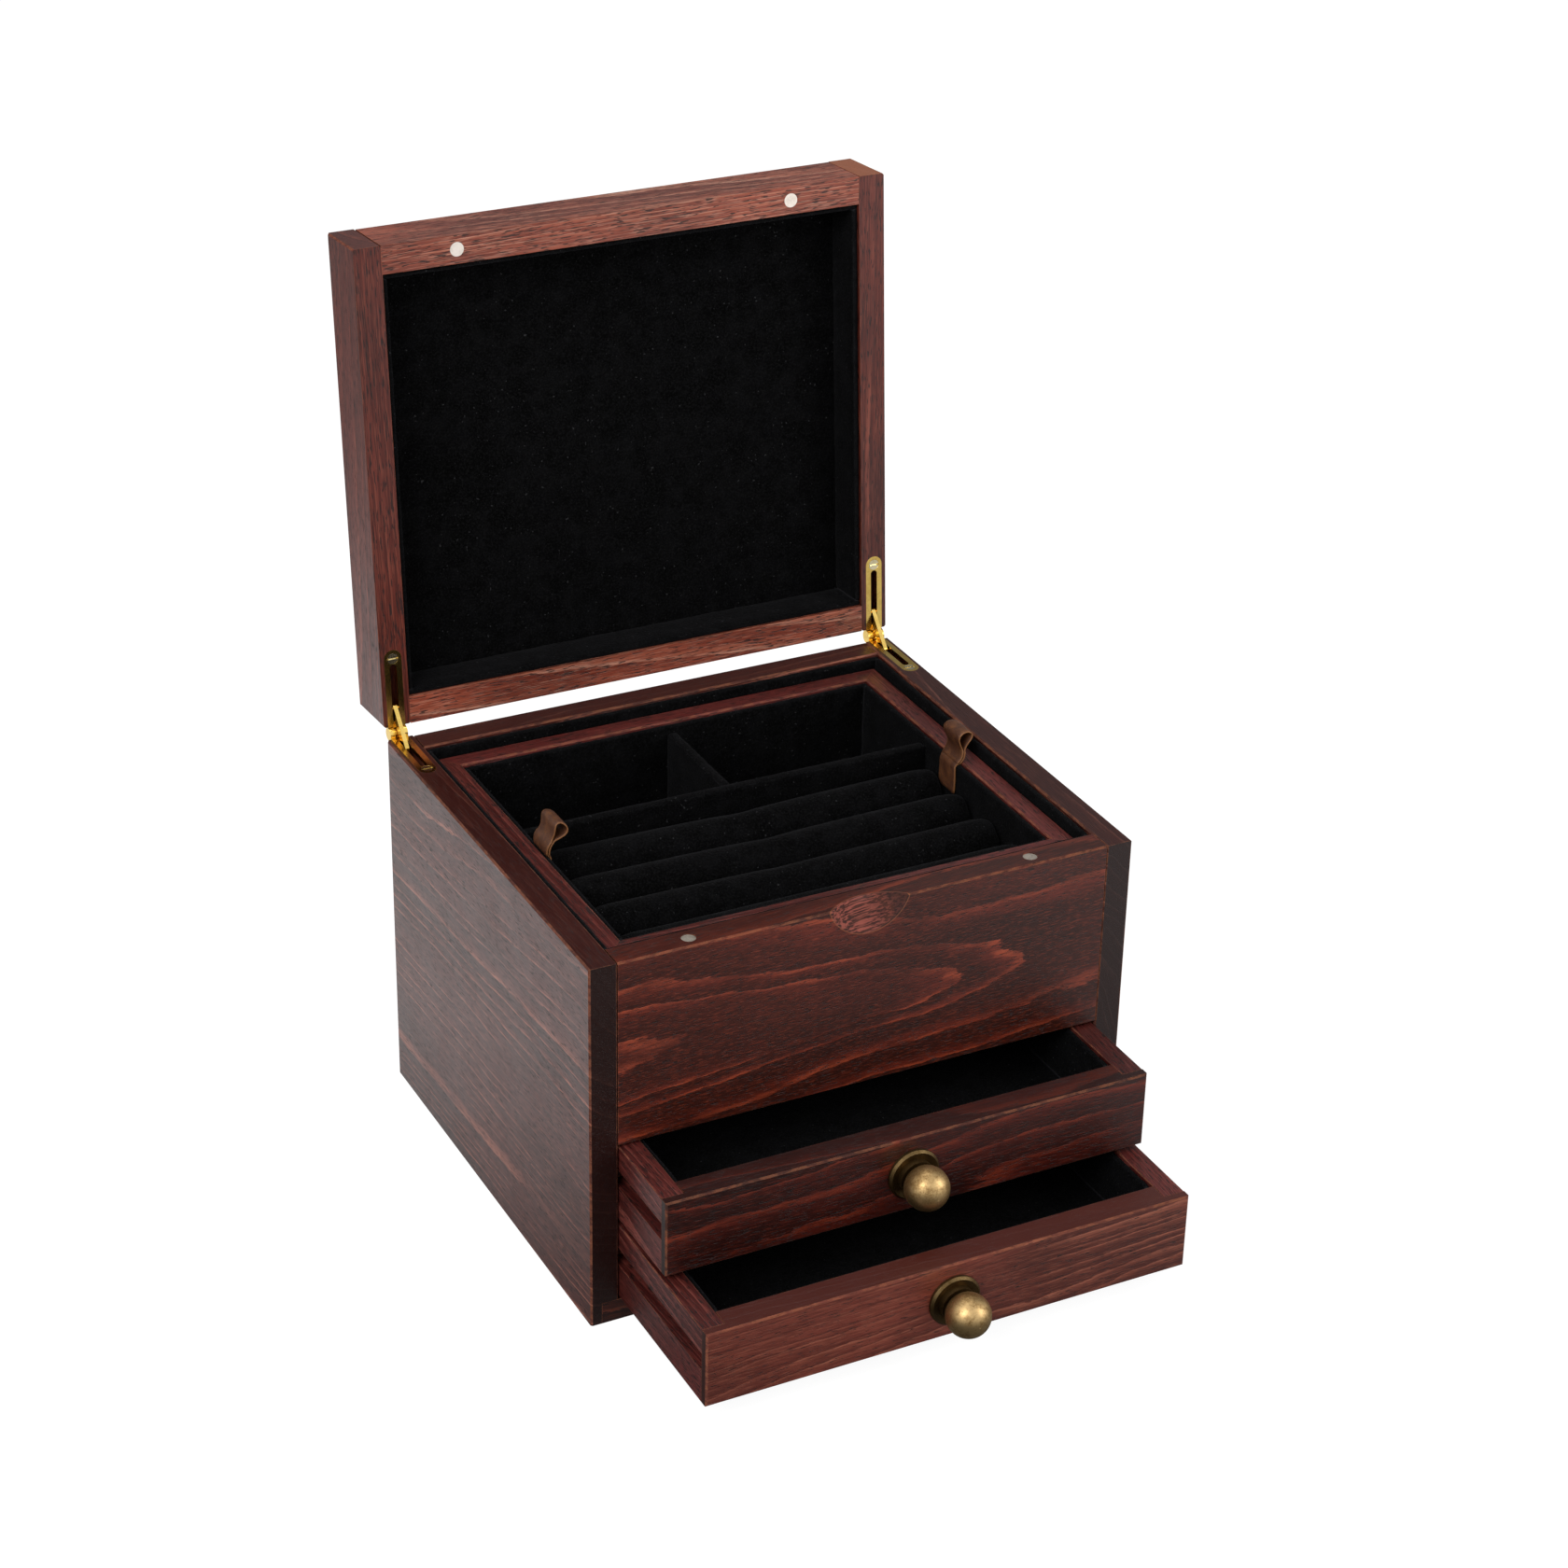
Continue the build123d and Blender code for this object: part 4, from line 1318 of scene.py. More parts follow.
class FibreTree:
    """The geometry node tree that roots short fibres along a piece's edges."""

    SOCKETS = (("Spacing", "NodeSocketFloat"), ("Length", "NodeSocketFloat"),
               ("Thickness", "NodeSocketFloat"), ("Scatter", "NodeSocketFloat"),
               ("Seed", "NodeSocketInt"), ("Fibre", "NodeSocketMaterial"))

    def __init__(self) -> None:
        """Make the tree, with its sizes as named inputs."""
        self.tree = bpy.data.node_groups.new("velvet_fibres", "GeometryNodeTree")
        face = self.tree.interface
        face.new_socket("Geometry", in_out="INPUT", socket_type="NodeSocketGeometry")
        self.inputs = {name: face.new_socket(name, in_out="INPUT", socket_type=kind).identifier
                       for name, kind in self.SOCKETS}
        face.new_socket("Geometry", in_out="OUTPUT", socket_type="NodeSocketGeometry")
        self.wire()

    def wire(self) -> None:
        """Points along the edges, moved at random, with a turned thin cone on each."""
        g = Graph(self.tree)
        given = g.node("NodeGroupInput").outputs
        curve = g.node("GeometryNodeMeshToCurve", {0: given["Geometry"]})
        points = g.node("GeometryNodeCurveToPoints", {"Curve": curve.outputs[0],
                                                      "Length": given["Spacing"]}, mode="LENGTH")
        back = g.math("MULTIPLY", given["Scatter"], -1.0)
        jitter = g.node("FunctionNodeRandomValue", {"Min": back, "Max": given["Scatter"],
                                                    "Seed": given["Seed"]},
                        data_type="FLOAT_VECTOR")
        moved = g.node("GeometryNodeSetPosition", {"Geometry": points.outputs["Points"],
                                                   "Offset": jitter.outputs[0]})
        cone = g.node("GeometryNodeMeshCone", {"Vertices": 3, "Radius Top": 0.0,
                                               "Radius Bottom": given["Thickness"],
                                               "Depth": given["Length"]}, fill_type="NGON")
        turn = g.node("FunctionNodeRandomValue", {"Min": (-math.pi,) * 3, "Max": (math.pi,) * 3,
                                                  "Seed": g.math("ADD", given["Seed"], 1.0)},
                      data_type="FLOAT_VECTOR")
        grown = g.node("GeometryNodeInstanceOnPoints", {"Points": moved.outputs[0],
                                                        "Instance": cone.outputs["Mesh"],
                                                        "Rotation": turn.outputs[0]})
        real = g.node("GeometryNodeRealizeInstances", {0: grown.outputs[0]})
        dressed = g.node("GeometryNodeSetMaterial", {"Geometry": real.outputs[0],
                                                     "Material": given["Fibre"]})
        g.put(g.node("NodeGroupOutput").inputs[0], dressed.outputs[0])


@dataclass
class PileFringe:
    """Fibres that stand up along the edges of one body's velvet.

    Attributes:
        body: the CAD body it rides on.
        edges: pairs of points, in metres.
        seed: of the random places and turns.
        spacing: between fibres.
        length: of a fibre.
        thickness: radius of a fibre at its root.
        scatter: how far a root may lie from the edge, for each metre of a fibre.
    """

    body: str
    edges: list[Corners]
    seed: int
    spacing: float = 0.00022
    length: float = 0.0005
    thickness: float = 0.00002
    scatter: float = 0.3

    def build(self, tree: FibreTree, fibre: bpy.types.Material) -> bpy.types.Object:
        """Grow the fibres and turn them into a plain mesh on the body.

        Args:
            tree: the node tree that grows them.
            fibre: their material.

        Returns:
            The piece.
        """
        mesh = bmesh.new()
        for ends in self.edges:
            mesh.edges.new([mesh.verts.new(point) for point in ends])
        name = f"{self.body}_velvet_fibres"
        data = bpy.data.meshes.new(name)
        mesh.to_mesh(data)
        mesh.free()
        made = placed(name, data)
        grow = made.modifiers.new("fibres", "NODES")
        grow.node_group = tree.tree
        for key, value in (("Spacing", self.spacing), ("Length", self.length),
                           ("Thickness", self.thickness),
                           ("Scatter", self.scatter * self.length),
                           ("Seed", self.seed), ("Fibre", fibre)):
            grow[tree.inputs[key]] = value
        settle(made)
        finished(made, self.body)
        LOG.info("fibres on %s, %d faces", self.body, len(made.data.polygons))
        return made


@dataclass
class RingRoll:
    """A foam roll wrapped in velvet, with tucked ends, blown up by a cloth simulation.

    Attributes:
        node: the CAD roll it stands for.
        sides: points round the roll.
        stations: sections along it.
        start: how far inside the CAD roll it starts, on each side, in metres.
        tuck: share of its half length over which an end rounds off.
        end_fill: how full an end is at its very face, 0 to 1.
        end_width: how much of its width would stay where it is empty, 0 to 1.
        swell: power of the section's curve; 1 is an ellipse, 0 a box.
        foot: that of its underside, which lies flat.
        voxel: size of the cloth's faces.
        pressure: of the air inside.
        quality: steps of the simulation in a frame.
        frames: of the simulation.
        reach: how far a point may move in it.
        crown: how far the pile may stand above the CAD roll.
    """

    node: str
    sides: int = 30
    stations: int = 60
    start: Triple = (0.0004, 0.0007, 0.0005)
    tuck: float = 0.035
    end_fill: float = 0.70
    end_width: float = 0.55
    swell: float = 0.86
    foot: float = 0.4
    voxel: float = 0.004
    pressure: float = 4.0
    quality: int = 5
    frames: int = 20
    reach: float = 0.0016
    crown: float = 0.0006

    def section(self, at: float, low: Vector, high: Vector) -> list[Vector]:
        """Find the points round the roll at one place along it.

        Args:
            at: how far along, 0 to 1.
            low: the roll's lowest corner.
            high: its highest corner.

        Returns:
            The points.
        """
        half, middle = (high - low) / 2, (high + low) / 2
        x = 2 * at - 1
        inset = max(0.0, (abs(x) - (1 - self.tuck)) / self.tuck)
        fill = self.end_fill + (1 - self.end_fill) * math.sqrt(max(0.0, 1 - inset ** 2))
        width = self.end_width + (1 - self.end_width) * fill
        points = []
        for k in range(self.sides):
            angle = 2 * math.pi * k / self.sides
            c, s = math.cos(angle), math.sin(angle)
            power, height = (self.swell, fill) if s > 0 else (self.foot, 1.0)
            wide = math.copysign(abs(c) ** self.swell, c)
            tall = math.copysign(abs(s) ** power, s)
            points.append(middle + Vector((half.x * x, half.y * wide * width,
                                           half.z * tall * height)))
        return points

    def build(self, velvet: bpy.types.Material) -> bpy.types.Object:
        """Make the roll, run its cloth and set it in the tray.

        Args:
            velvet: its material.

        Returns:
            The piece.
        """
        low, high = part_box(self.node)
        start = Vector(self.start)
        places = [0.5 - 0.5 * math.cos(math.pi * k / self.stations)
                  for k in range(self.stations + 1)]
        mesh = bmesh.new()
        loft(mesh, [self.section(at, low + start, high - start) for at in places])
        piece = mesh_object(f"{self.node}_velvet", mesh, velvet)
        self.inflate(piece)
        divide = piece.modifiers.new("round", "SUBSURF")
        divide.levels = divide.render_levels = 1
        settle(piece)
        for vertex in piece.data.vertices:
            vertex.co.y = min(max(vertex.co.y, low.y), high.y)
            vertex.co.z = min(max(vertex.co.z, low.z), high.z + self.crown)
        for polygon in piece.data.polygons:
            polygon.use_smooth = True
        finished(piece, "tray", (self.node,))
        LOG.info("ring roll %s", self.node)
        return piece

    def inflate(self, piece: bpy.types.Object) -> None:
        """Blow the roll up with cloth pressure, holding each point near its start.

        Args:
            piece: the roll.
        """
        remesh = piece.modifiers.new("voxels", "REMESH")
        remesh.mode = "VOXEL"
        remesh.voxel_size = self.voxel
        settle(piece)
        begun = [vertex.co.copy() for vertex in piece.data.vertices]
        cloth = piece.modifiers.new("cloth", "CLOTH")
        cloth.settings.use_pressure = True
        cloth.settings.uniform_pressure_force = self.pressure
        cloth.settings.effector_weights.gravity = 0.0
        cloth.settings.quality = self.quality
        cloth.point_cache.frame_start = 1
        cloth.point_cache.frame_end = self.frames
        scene = bpy.context.scene
        for frame in range(1, self.frames + 1):
            scene.frame_set(frame)
        settle(piece)
        scene.frame_set(1)
        for vertex, was in zip(piece.data.vertices, begun):
            move = vertex.co - was
            if move.length > self.reach:
                vertex.co = was + move.normalized() * self.reach


# ---------------------------------------------------------------- leather


class Side(Enum):
    """A side of the chest, as the CAD names it."""

    LEFT = "left"
    RIGHT = "right"


@dataclass(frozen=True)
class LeatherStrip:
    """A strip of leather that follows a path and lies square across it.

    Attributes:
        width: of the strip, in metres.
        ply: thickness of the leather.
        trim: how far the cut edges thin out.
        thinnest: share of the thickness that is left at the very edge.
        ripple: share of the width by which it is cut unevenly.
        beat: turn of that ripple from one section to the next, in radians.
        steps: divisions across the strip.
    """

    width: float = 0.011
    ply: float = 0.0007
    trim: float = 0.0004
    thinnest: float = 0.5
    ripple: float = 0.04
    beat: float = 0.45
    steps: int = 12

    def fullness(self, y: float, half: float) -> float:
        """How full the leather is across its width: thinner at the cut edges."""
        edge = min(1.0, max(0.0, (half - abs(y)) / self.trim))
        return math.sqrt(max(self.thinnest ** 2, 1 - (1 - edge) ** 2))

    def add(self, mesh: bmesh.types.BMesh, path: list[Vector]) -> None:
        """Add the strip to a mesh.

        Args:
            mesh: the bmesh that gets it.
            path: points of its middle, in a plane that its width is square to.
        """
        side = Vector((0, 1, 0))
        sections = []
        for k, point in enumerate(path):
            before, after = path[max(k - 1, 0)], path[min(k + 1, len(path) - 1)]
            outward = (after - before).normalized().cross(side)
            half = self.width / 2 * (1 + self.ripple * math.sin(k * self.beat))
            across = [half * (2 * step / self.steps - 1) for step in range(self.steps + 1)]
            thick = [self.ply / 2 * self.fullness(y, half) for y in across]
            rim = list(zip(across, thick)) + [(y, -h) for y, h in zip(across, thick)][::-1]
            sections.append([point + side * y + outward * h for y, h in rim])
        loft(mesh, sections)


@dataclass(frozen=True)
class PullTab:
    """A leather strip folded into a loop that stands inside the tray's wall.

    Attributes:
        side: the side of the tray that it stands at.
        lean: degrees from upright towards +X.
        sway: how far the strip curves to either side on its way up, in metres.
        waist: height at which the two plies part.
        loop: height of the loop above the waist.
        belly: how wide the loop swells.
        apart: distance from the middle to each ply below the waist, in plies.
        rises: sections up to the waist.
        turns: sections round the loop.
        strip: the leather it is cut from.
    """

    side: Side
    lean: float
    sway: float = 0.0009
    waist: float = 0.0050
    loop: float = 0.0074
    belly: float = 0.0034
    apart: float = 0.65
    rises: int = 6
    turns: int = 36
    strip: LeatherStrip = LeatherStrip()

    @property
    def node(self) -> str:
        """The CAD node and body that it stands for."""
        return f"pull_tab_{self.side.value}"

    def path(self) -> list[Span]:
        """Draw the middle of the strip: up, round the loop and down.

        Returns:
            Points as distances across and up, in metres.
        """
        apart = self.apart * self.strip.ply
        stem = [self.waist * k / self.rises for k in range(self.rises)]
        points = [(-apart, up) for up in stem]
        for k in range(self.turns + 1):
            t = 2 * math.pi * k / self.turns
            across = -self.belly * math.sin(t) * math.sin(t / 2) ** 2
            points.append((across - apart * math.cos(t / 2),
                           self.waist + self.loop * (1 - math.cos(t)) / 2))
        points += [(apart, up) for up in reversed(stem)]
        whole = self.waist + self.loop
        return [(across - self.sway * math.sin(2 * math.pi * up / whole), up)
                for across, up in points]

    def build(self, leather: bpy.types.Material, foot: Vector) -> bpy.types.Object:
        """Make the loop and hang it on its body.

        Args:
            leather: its material.
            foot: where it leaves the tray's wall.

        Returns:
            The piece.
        """
        lean = math.radians(self.lean)
        up = Vector((math.sin(lean), 0, math.cos(lean)))
        over = Vector((math.cos(lean), 0, -math.sin(lean)))
        mesh = bmesh.new()
        self.strip.add(mesh, [foot + over * a + up * b for a, b in self.path()])
        piece = mesh_object(f"{self.node}_leather", mesh, leather)
        finished(piece, self.node, (self.node,))
        LOG.info("pull tab %s, leaning %g degrees", self.side.value, self.lean)
        return piece


@dataclass(frozen=True)
class HoldingStrips:
    """The leather strips that hold the loops to the tray's lining.

    Attributes:
        node: the CAD node that they stand for.
        inward: how far in front of the hinge line a strip lies, in metres.
        crook: height over which it bends out to the hinge line.
        steps: sections of the straight part and of the bend.
        strip: their leather.
    """

    node: str = "pull_tab_anchors"
    inward: float = 0.0011
    crook: float = 0.0020
    steps: int = 8
    strip: LeatherStrip = LeatherStrip(width=0.0108, ply=0.0010)

    def path(self, base: float, foot: Vector) -> list[Vector]:
        """Draw the middle of one strip, from its lower end to the hinge line.

        Args:
            base: height of its lower end.
            foot: where the loop leaves the tray's wall.

        Returns:
            Points.
        """
        inwards = Vector((-math.copysign(self.inward, foot.x), 0, 0))
        bend = foot.z - self.crook
        path = [Vector((foot.x, foot.y, base + (bend - base) * k / self.steps)) + inwards
                for k in range(self.steps + 1)]
        for k in range(1, self.steps + 1):
            turn = math.pi / 2 * k / self.steps
            path.append(foot + inwards * math.cos(turn)
                        + Vector((0, 0, self.crook * (math.sin(turn) - 1))))
        return path

    def build(self, leather: bpy.types.Material, feet: list[Vector]) -> bpy.types.Object:
        """Make the strips and set them in the tray.

        Args:
            leather: their material.
            feet: where each loop leaves the tray's wall.

        Returns:
            The piece.
        """
        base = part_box(self.node)[0].z
        mesh = bmesh.new()
        for foot in feet:
            self.strip.add(mesh, self.path(base, foot))
        piece = mesh_object(f"{self.node}_leather", mesh, leather)
        finished(piece, "tray", (self.node,))
        LOG.info("holding strips of the tabs, %d", len(feet))
        return piece


# ---------------------------------------------------------------- the chest


class Workshop:
    """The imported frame, and the materials and tools that the sub-assemblies share."""

    def __init__(self) -> None:
        """Load the frame and make the shared materials."""
        self.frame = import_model()
        self.velvet = VelvetFinish().material()
        self.fibre = VelvetFinish(name="velvet_fibre", pile="#1d1d1f", brushed="#3c3c3f",
                                  turned="#4a4a4c").material()
        self.leather = LeatherFinish().material()
        self.fibres = FibreTree()
        self.metals: dict[str, bpy.types.Material] = {}

    def node(self, name: str) -> bpy.types.Object:
        """A CAD node by its name."""
        return self.frame["nodes"][name]

    def pivot(self, joint: str) -> Vector:
        """Where a joint turns, in metres."""
        found = next(each for each in self.frame["joints"] if each["name"] == joint)
        return Vector(found["pos_m"])

    def plate(self, name: str, finish: MetalFinish) -> None:
        """Give a CAD node a metal, which is made the first time it is asked for.

        Args:
            name: the node's name.
            finish: its metal.
        """
        if finish.name not in self.metals:
            self.metals[finish.name] = finish.material()
        paint(self.node(name), self.metals[finish.name])
        LOG.info("metal %s, %s", name, finish.name)

    def card(self, node: str, body: str, slabs: list[Corners], **shape: object) -> None:
        """Make one piece of velvet cards that stands for a CAD node.

        Args:
            node: the node's name.
            body: the body that it rides on.
            slabs: low and high corners of the cards.
            **shape: other sizes of the cards.
        """
        VelvetCards(f"{node}_velvet", body, (node,), slabs, **shape).build(self.velvet)

    def fringe(self, body: str, edges: list[Corners], seed: int) -> None:
        """Grow the fibres along the edges of a body's velvet."""
        PileFringe(body, edges, seed).build(self.fibres, self.fibre)


@dataclass(frozen=True)
class Board:
    """One wooden CAD node and how it was cut from the log.

    Attributes:
        node: the CAD node's name.
        finish: its stain and grain.
        along: the grain's direction.
        face: the way the face that shows most looks.
        pith: the heart of the log, across and behind the face, in metres.
        tilt: slopes of the grain, in the face and out of it.
    """

    node: str
    finish: WoodFinish
    along: Along
    face: Facing
    pith: Span
    tilt: Span = (0.0, 0.0)

    def dress(self, shop: Workshop) -> None:
        """Give the board its material.

        Args:
            shop: the frame and the shared materials.
        """
        low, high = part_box(self.node)
        cut = Cut((low + high) / 2, self.along, self.face, self.pith, self.tilt)
        paint(shop.node(self.node), self.finish.material(self.node, cut))
        LOG.info("board %s, grain %s", self.node, self.along.name)


@dataclass
class SubAssembly:
    """One moving body of the chest, or the still one.

    Attributes:
        body: the CAD body's name.
        seed: of its velvet fibres.
        boards: its wooden nodes.
        metals: its metal nodes, as pairs of a name and a finish.
    """

    body: str
    seed: int = 0
    boards: tuple[Board, ...] = ()
    metals: tuple[tuple[str, MetalFinish], ...] = ()

    def build(self, shop: Workshop) -> None:
        """Dress the boards and the metal.

        Args:
            shop: the frame and the shared materials.
        """
        for board in self.boards:
            board.dress(shop)
        for name, finish in self.metals:
            shop.plate(name, finish)
        LOG.info("built %s", self.body)


@dataclass
class Chest(SubAssembly):
    """The still body: the case, the lined compartment and the lower halves of the hinges."""

    body: str = "chest"
    seed: int = 1
    boards: tuple[Board, ...] = (
        Board("side_panel_left", SIDE, Along.DEPTH, Facing.LEFT, (-0.085, 0.050), (0.02, 0.05)),
        Board("side_panel_right", SIDE, Along.DEPTH, Facing.RIGHT, (-0.020, 0.070), (0.01, 0.03)),
        Board("front_panel", PANEL, Along.WIDTH, Facing.FRONT, (0.002, 0.016), (0.03, -0.10)),
        Board("back_panel", SIDE, Along.WIDTH, Facing.BACK, (0.02, 0.05), (0.0, 0.04)),
        Board("bottom_board", PLAIN, Along.WIDTH, Facing.DOWN, (0.0, 0.06), (0.0, 0.04)),
        Board("compartment_floor", PLAIN, Along.WIDTH, Facing.UP, (0.0, 0.06), (0.0, 0.04)),
        Board("drawer_runners", PLAIN, Along.DEPTH, Facing.LEFT, (0.10, 0.02)),
    )
    metals: tuple[tuple[str, MetalFinish], ...] = (
        ("chest_magnets", WORN_NICKEL),
        ("hinge_leaf_lower_left", POLISHED_BRASS),
        ("hinge_leaf_lower_right", POLISHED_BRASS),
        ("hinge_pins", POLISHED_BRASS),
        ("hinge_screws_lower", SCREW_BRASS),
    )

    def build(self, shop: Workshop) -> None:
        """Dress the case and line the compartment.

        Args:
            shop: the frame and the shared materials.
        """
        super().build(shop)
        well = Well(*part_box("compartment_lining_walls"))
        shop.card("compartment_lining_walls", self.body, well.cards())
        shop.card("compartment_lining_floor", self.body, [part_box("compartment_lining_floor")])
        shop.fringe(self.body, well.rims(), self.seed)


@dataclass
class Lid(SubAssembly):
    """The open lid: its frame and top, its lining, its magnets and the upper hinge leaves."""

    body: str = "lid"
    seed: int = 3
    boards: tuple[Board, ...] = (
        Board("lid_rail_left", STILE, Along.OPEN_LID, Facing.LEFT, (0.02, 0.06), (0.0, 0.02)),
        Board("lid_rail_right", WORN_STILE, Along.OPEN_LID, Facing.RIGHT, (0.02, 0.06),
              (0.0, 0.02)),
        Board("lid_rail_front", RAIL, Along.WIDTH, Facing.UP, (0.01, 0.07), (0.01, 0.02)),
        Board("lid_rail_back", RAIL, Along.WIDTH, Facing.FRONT, (0.01, 0.07), (0.01, 0.02)),
        Board("lid_top_panel", SIDE, Along.WIDTH, Facing.BACK, (-0.04, 0.022), (0.02, -0.07)),
    )
    metals: tuple[tuple[str, MetalFinish], ...] = (
        ("lid_magnets", NICKEL),
        ("hinge_leaf_upper_left", POLISHED_BRASS),
        ("hinge_leaf_upper_right", POLISHED_BRASS),
        ("hinge_link_rivets", POLISHED_BRASS),
        ("hinge_screws_upper", SCREW_BRASS),
    )

    @staticmethod
    def lean(shop: Workshop) -> Matrix:
        """Find the open lid's own directions: its hinge line, its depth and its height.

        Args:
            shop: the frame and the shared materials.

        Returns:
            The directions as a matrix, with its origin on the hinge.
        """
        turn = math.radians(OPEN_ANGLE)
        depth = Vector((0, math.cos(turn), -math.sin(turn)))
        height = Vector((0, math.sin(turn), math.cos(turn)))
        place = shop.pivot("lid_hinge")
        return Matrix(((1, 0, 0, 0), (0, depth.y, height.y, place.y),
                       (0, depth.z, height.z, place.z), (0, 0, 0, 1)))

    @staticmethod
    def inner_box(node: bpy.types.Object, lean: Matrix) -> Corners:
        """Find a node's box in the lid's own directions.

        Args:
            node: the CAD node.
            lean: the lid's own directions.

        Returns:
            Its lowest and highest corners.
        """
        back = lean.inverted()
        points = [back @ vertex.co for vertex in node.data.vertices]
        return tuple(Vector([pick(p[axis] for p in points) for axis in range(3)])
                     for pick in (min, max))

    def build(self, shop: Workshop) -> None:
        """Dress the lid and line it.

        Args:
            shop: the frame and the shared materials.
        """
        super().build(shop)
        lean = self.lean(shop)
        well = Well(*self.inner_box(shop.node("lid_lining_walls"), lean))
        panel = self.inner_box(shop.node("lid_lining_panel"), lean)
        shop.card("lid_lining_walls", self.body, well.cards(), frame=lean)
        shop.card("lid_lining_panel", self.body, [panel], frame=lean)
        edges = [(lean @ start, lean @ end) for start, end in well.rims(upside_down=True)]
        shop.fringe(self.body, edges, self.seed)


@dataclass
class StopLink(SubAssembly):
    """One brass link that stops the lid. Its CAD node is the body's name after "hinge_"."""

    def build(self, shop: Workshop) -> None:
        """Plate the link."""
        shop.plate(f"hinge_{self.body}", POLISHED_BRASS)
        LOG.info("built %s", self.body)


@dataclass
class Tray(SubAssembly):
    """The lift-out tray: its frame, its lining, its dividers, its ring rolls and its tabs.

    Attributes:
        dividers: CAD nodes of the velvet-covered dividers.
        soft: radius of the soft edges of the floor and the dividers, in metres.
        rolls: the ring rolls.
        tabs: the pull tabs.
        strips: what holds them.
    """

    body: str = "tray"
    seed: int = 2
    boards: tuple[Board, ...] = (
        Board("tray_wall_front", RIM, Along.WIDTH, Facing.FRONT, (0.02, 0.05), (0.01, 0.03)),
        Board("tray_wall_back", RIM, Along.WIDTH, Facing.FRONT, (0.02, 0.05), (0.01, 0.03)),
        Board("tray_wall_left", RIM, Along.DEPTH, Facing.LEFT, (0.02, 0.05), (0.01, 0.03)),
        Board("tray_wall_right", RIM, Along.DEPTH, Facing.RIGHT, (0.02, 0.05), (0.01, 0.03)),
        Board("tray_bottom", PLAIN, Along.WIDTH, Facing.DOWN, (0.0, 0.06), (0.0, 0.04)),
    )
    dividers: tuple[str, ...] = ("tray_divider_long", "tray_divider_short")
    soft: float = 0.0012
    rolls: tuple[RingRoll, ...] = tuple(RingRoll(f"ring_roll_{number}") for number in range(1, 5))
    tabs: tuple[PullTab, ...] = (PullTab(Side.LEFT, 24.0),
                                 PullTab(Side.RIGHT, 18.0, sway=-0.0009))
    strips: HoldingStrips = HoldingStrips()

    def build(self, shop: Workshop) -> None:
        """Dress the tray, line it and fill it.

        Args:
            shop: the frame and the shared materials.
        """
        super().build(shop)
        well = Well(*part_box("tray_lining_walls"))
        shop.card("tray_lining_walls", self.body, well.cards())
        shop.card("tray_lining_floor", self.body, [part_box("tray_lining_floor")],
                  edge=self.soft)
        edges = well.rims()
        for divider in self.dividers:
            slabs = [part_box(divider)]
            shop.card(divider, self.body, slabs, edge=self.soft)
            edges += well.rims(slabs)
        shop.fringe(self.body, edges, self.seed)
        for roll in self.rolls:
            roll.build(shop.velvet)
        feet = [shop.pivot(f"{tab.node}_hinge") for tab in self.tabs]
        for tab, foot in zip(self.tabs, feet):
            tab.build(shop.leather, foot)
        self.strips.build(shop.leather, feet)


@dataclass
class Drawer(SubAssembly):
    """A drawer: its front, its box, its lining and its knob.

    Attributes:
        front: the finish of its front.
        floor: thickness of the lining's floor card, in metres.
        neck: from where to where, ahead of the drawer's front, its knob is kept clean.
    """

    front: WoodFinish = FRONT
    floor: float = 0.0014
    neck: Span = (0.0065, 0.0045)

    def __post_init__(self) -> None:
        """Name the drawer's boards and metal."""
        cuts = (("front", self.front, Along.WIDTH, Facing.FRONT, (-0.03, 0.03), (0.01, 0.05)),
                ("side_left", RIM, Along.DEPTH, Facing.LEFT, (0.03, 0.05), (0.01, 0.05)),
                ("side_right", RIM, Along.DEPTH, Facing.RIGHT, (0.03, 0.05), (0.01, 0.05)),
                ("back", PLAIN, Along.WIDTH, Facing.FRONT, (0.03, 0.05), (0.01, 0.05)),
                ("bottom", PLAIN, Along.WIDTH, Facing.DOWN, (0.0, 0.06), (0.01, 0.05)))
        self.boards = tuple(Board(f"{self.body}_{part}", *cut) for part, *cut in cuts)
        self.metals = ((f"{self.body}_knob_screw", SCREW_STEEL),)

    def build(self, shop: Workshop) -> None:
        """Dress the drawer and line it.

        Args:
            shop: the frame and the shared materials.
        """
        super().build(shop)
        knob = f"{self.body}_knob"
        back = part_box(f"{self.body}_front")[0].y
        shop.plate(knob, replace(ANTIQUE_BRASS, name=f"antique_brass_{knob}",
                                 reach=tuple(back - ahead for ahead in self.neck)))
        lining = f"{self.body}_lining"
        well = Well(*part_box(lining), floor=self.floor)
        shop.card(lining, self.body, well.cards())
        shop.fringe(self.body, well.rims(), self.seed)


# ---------------------------------------------------------------- stage


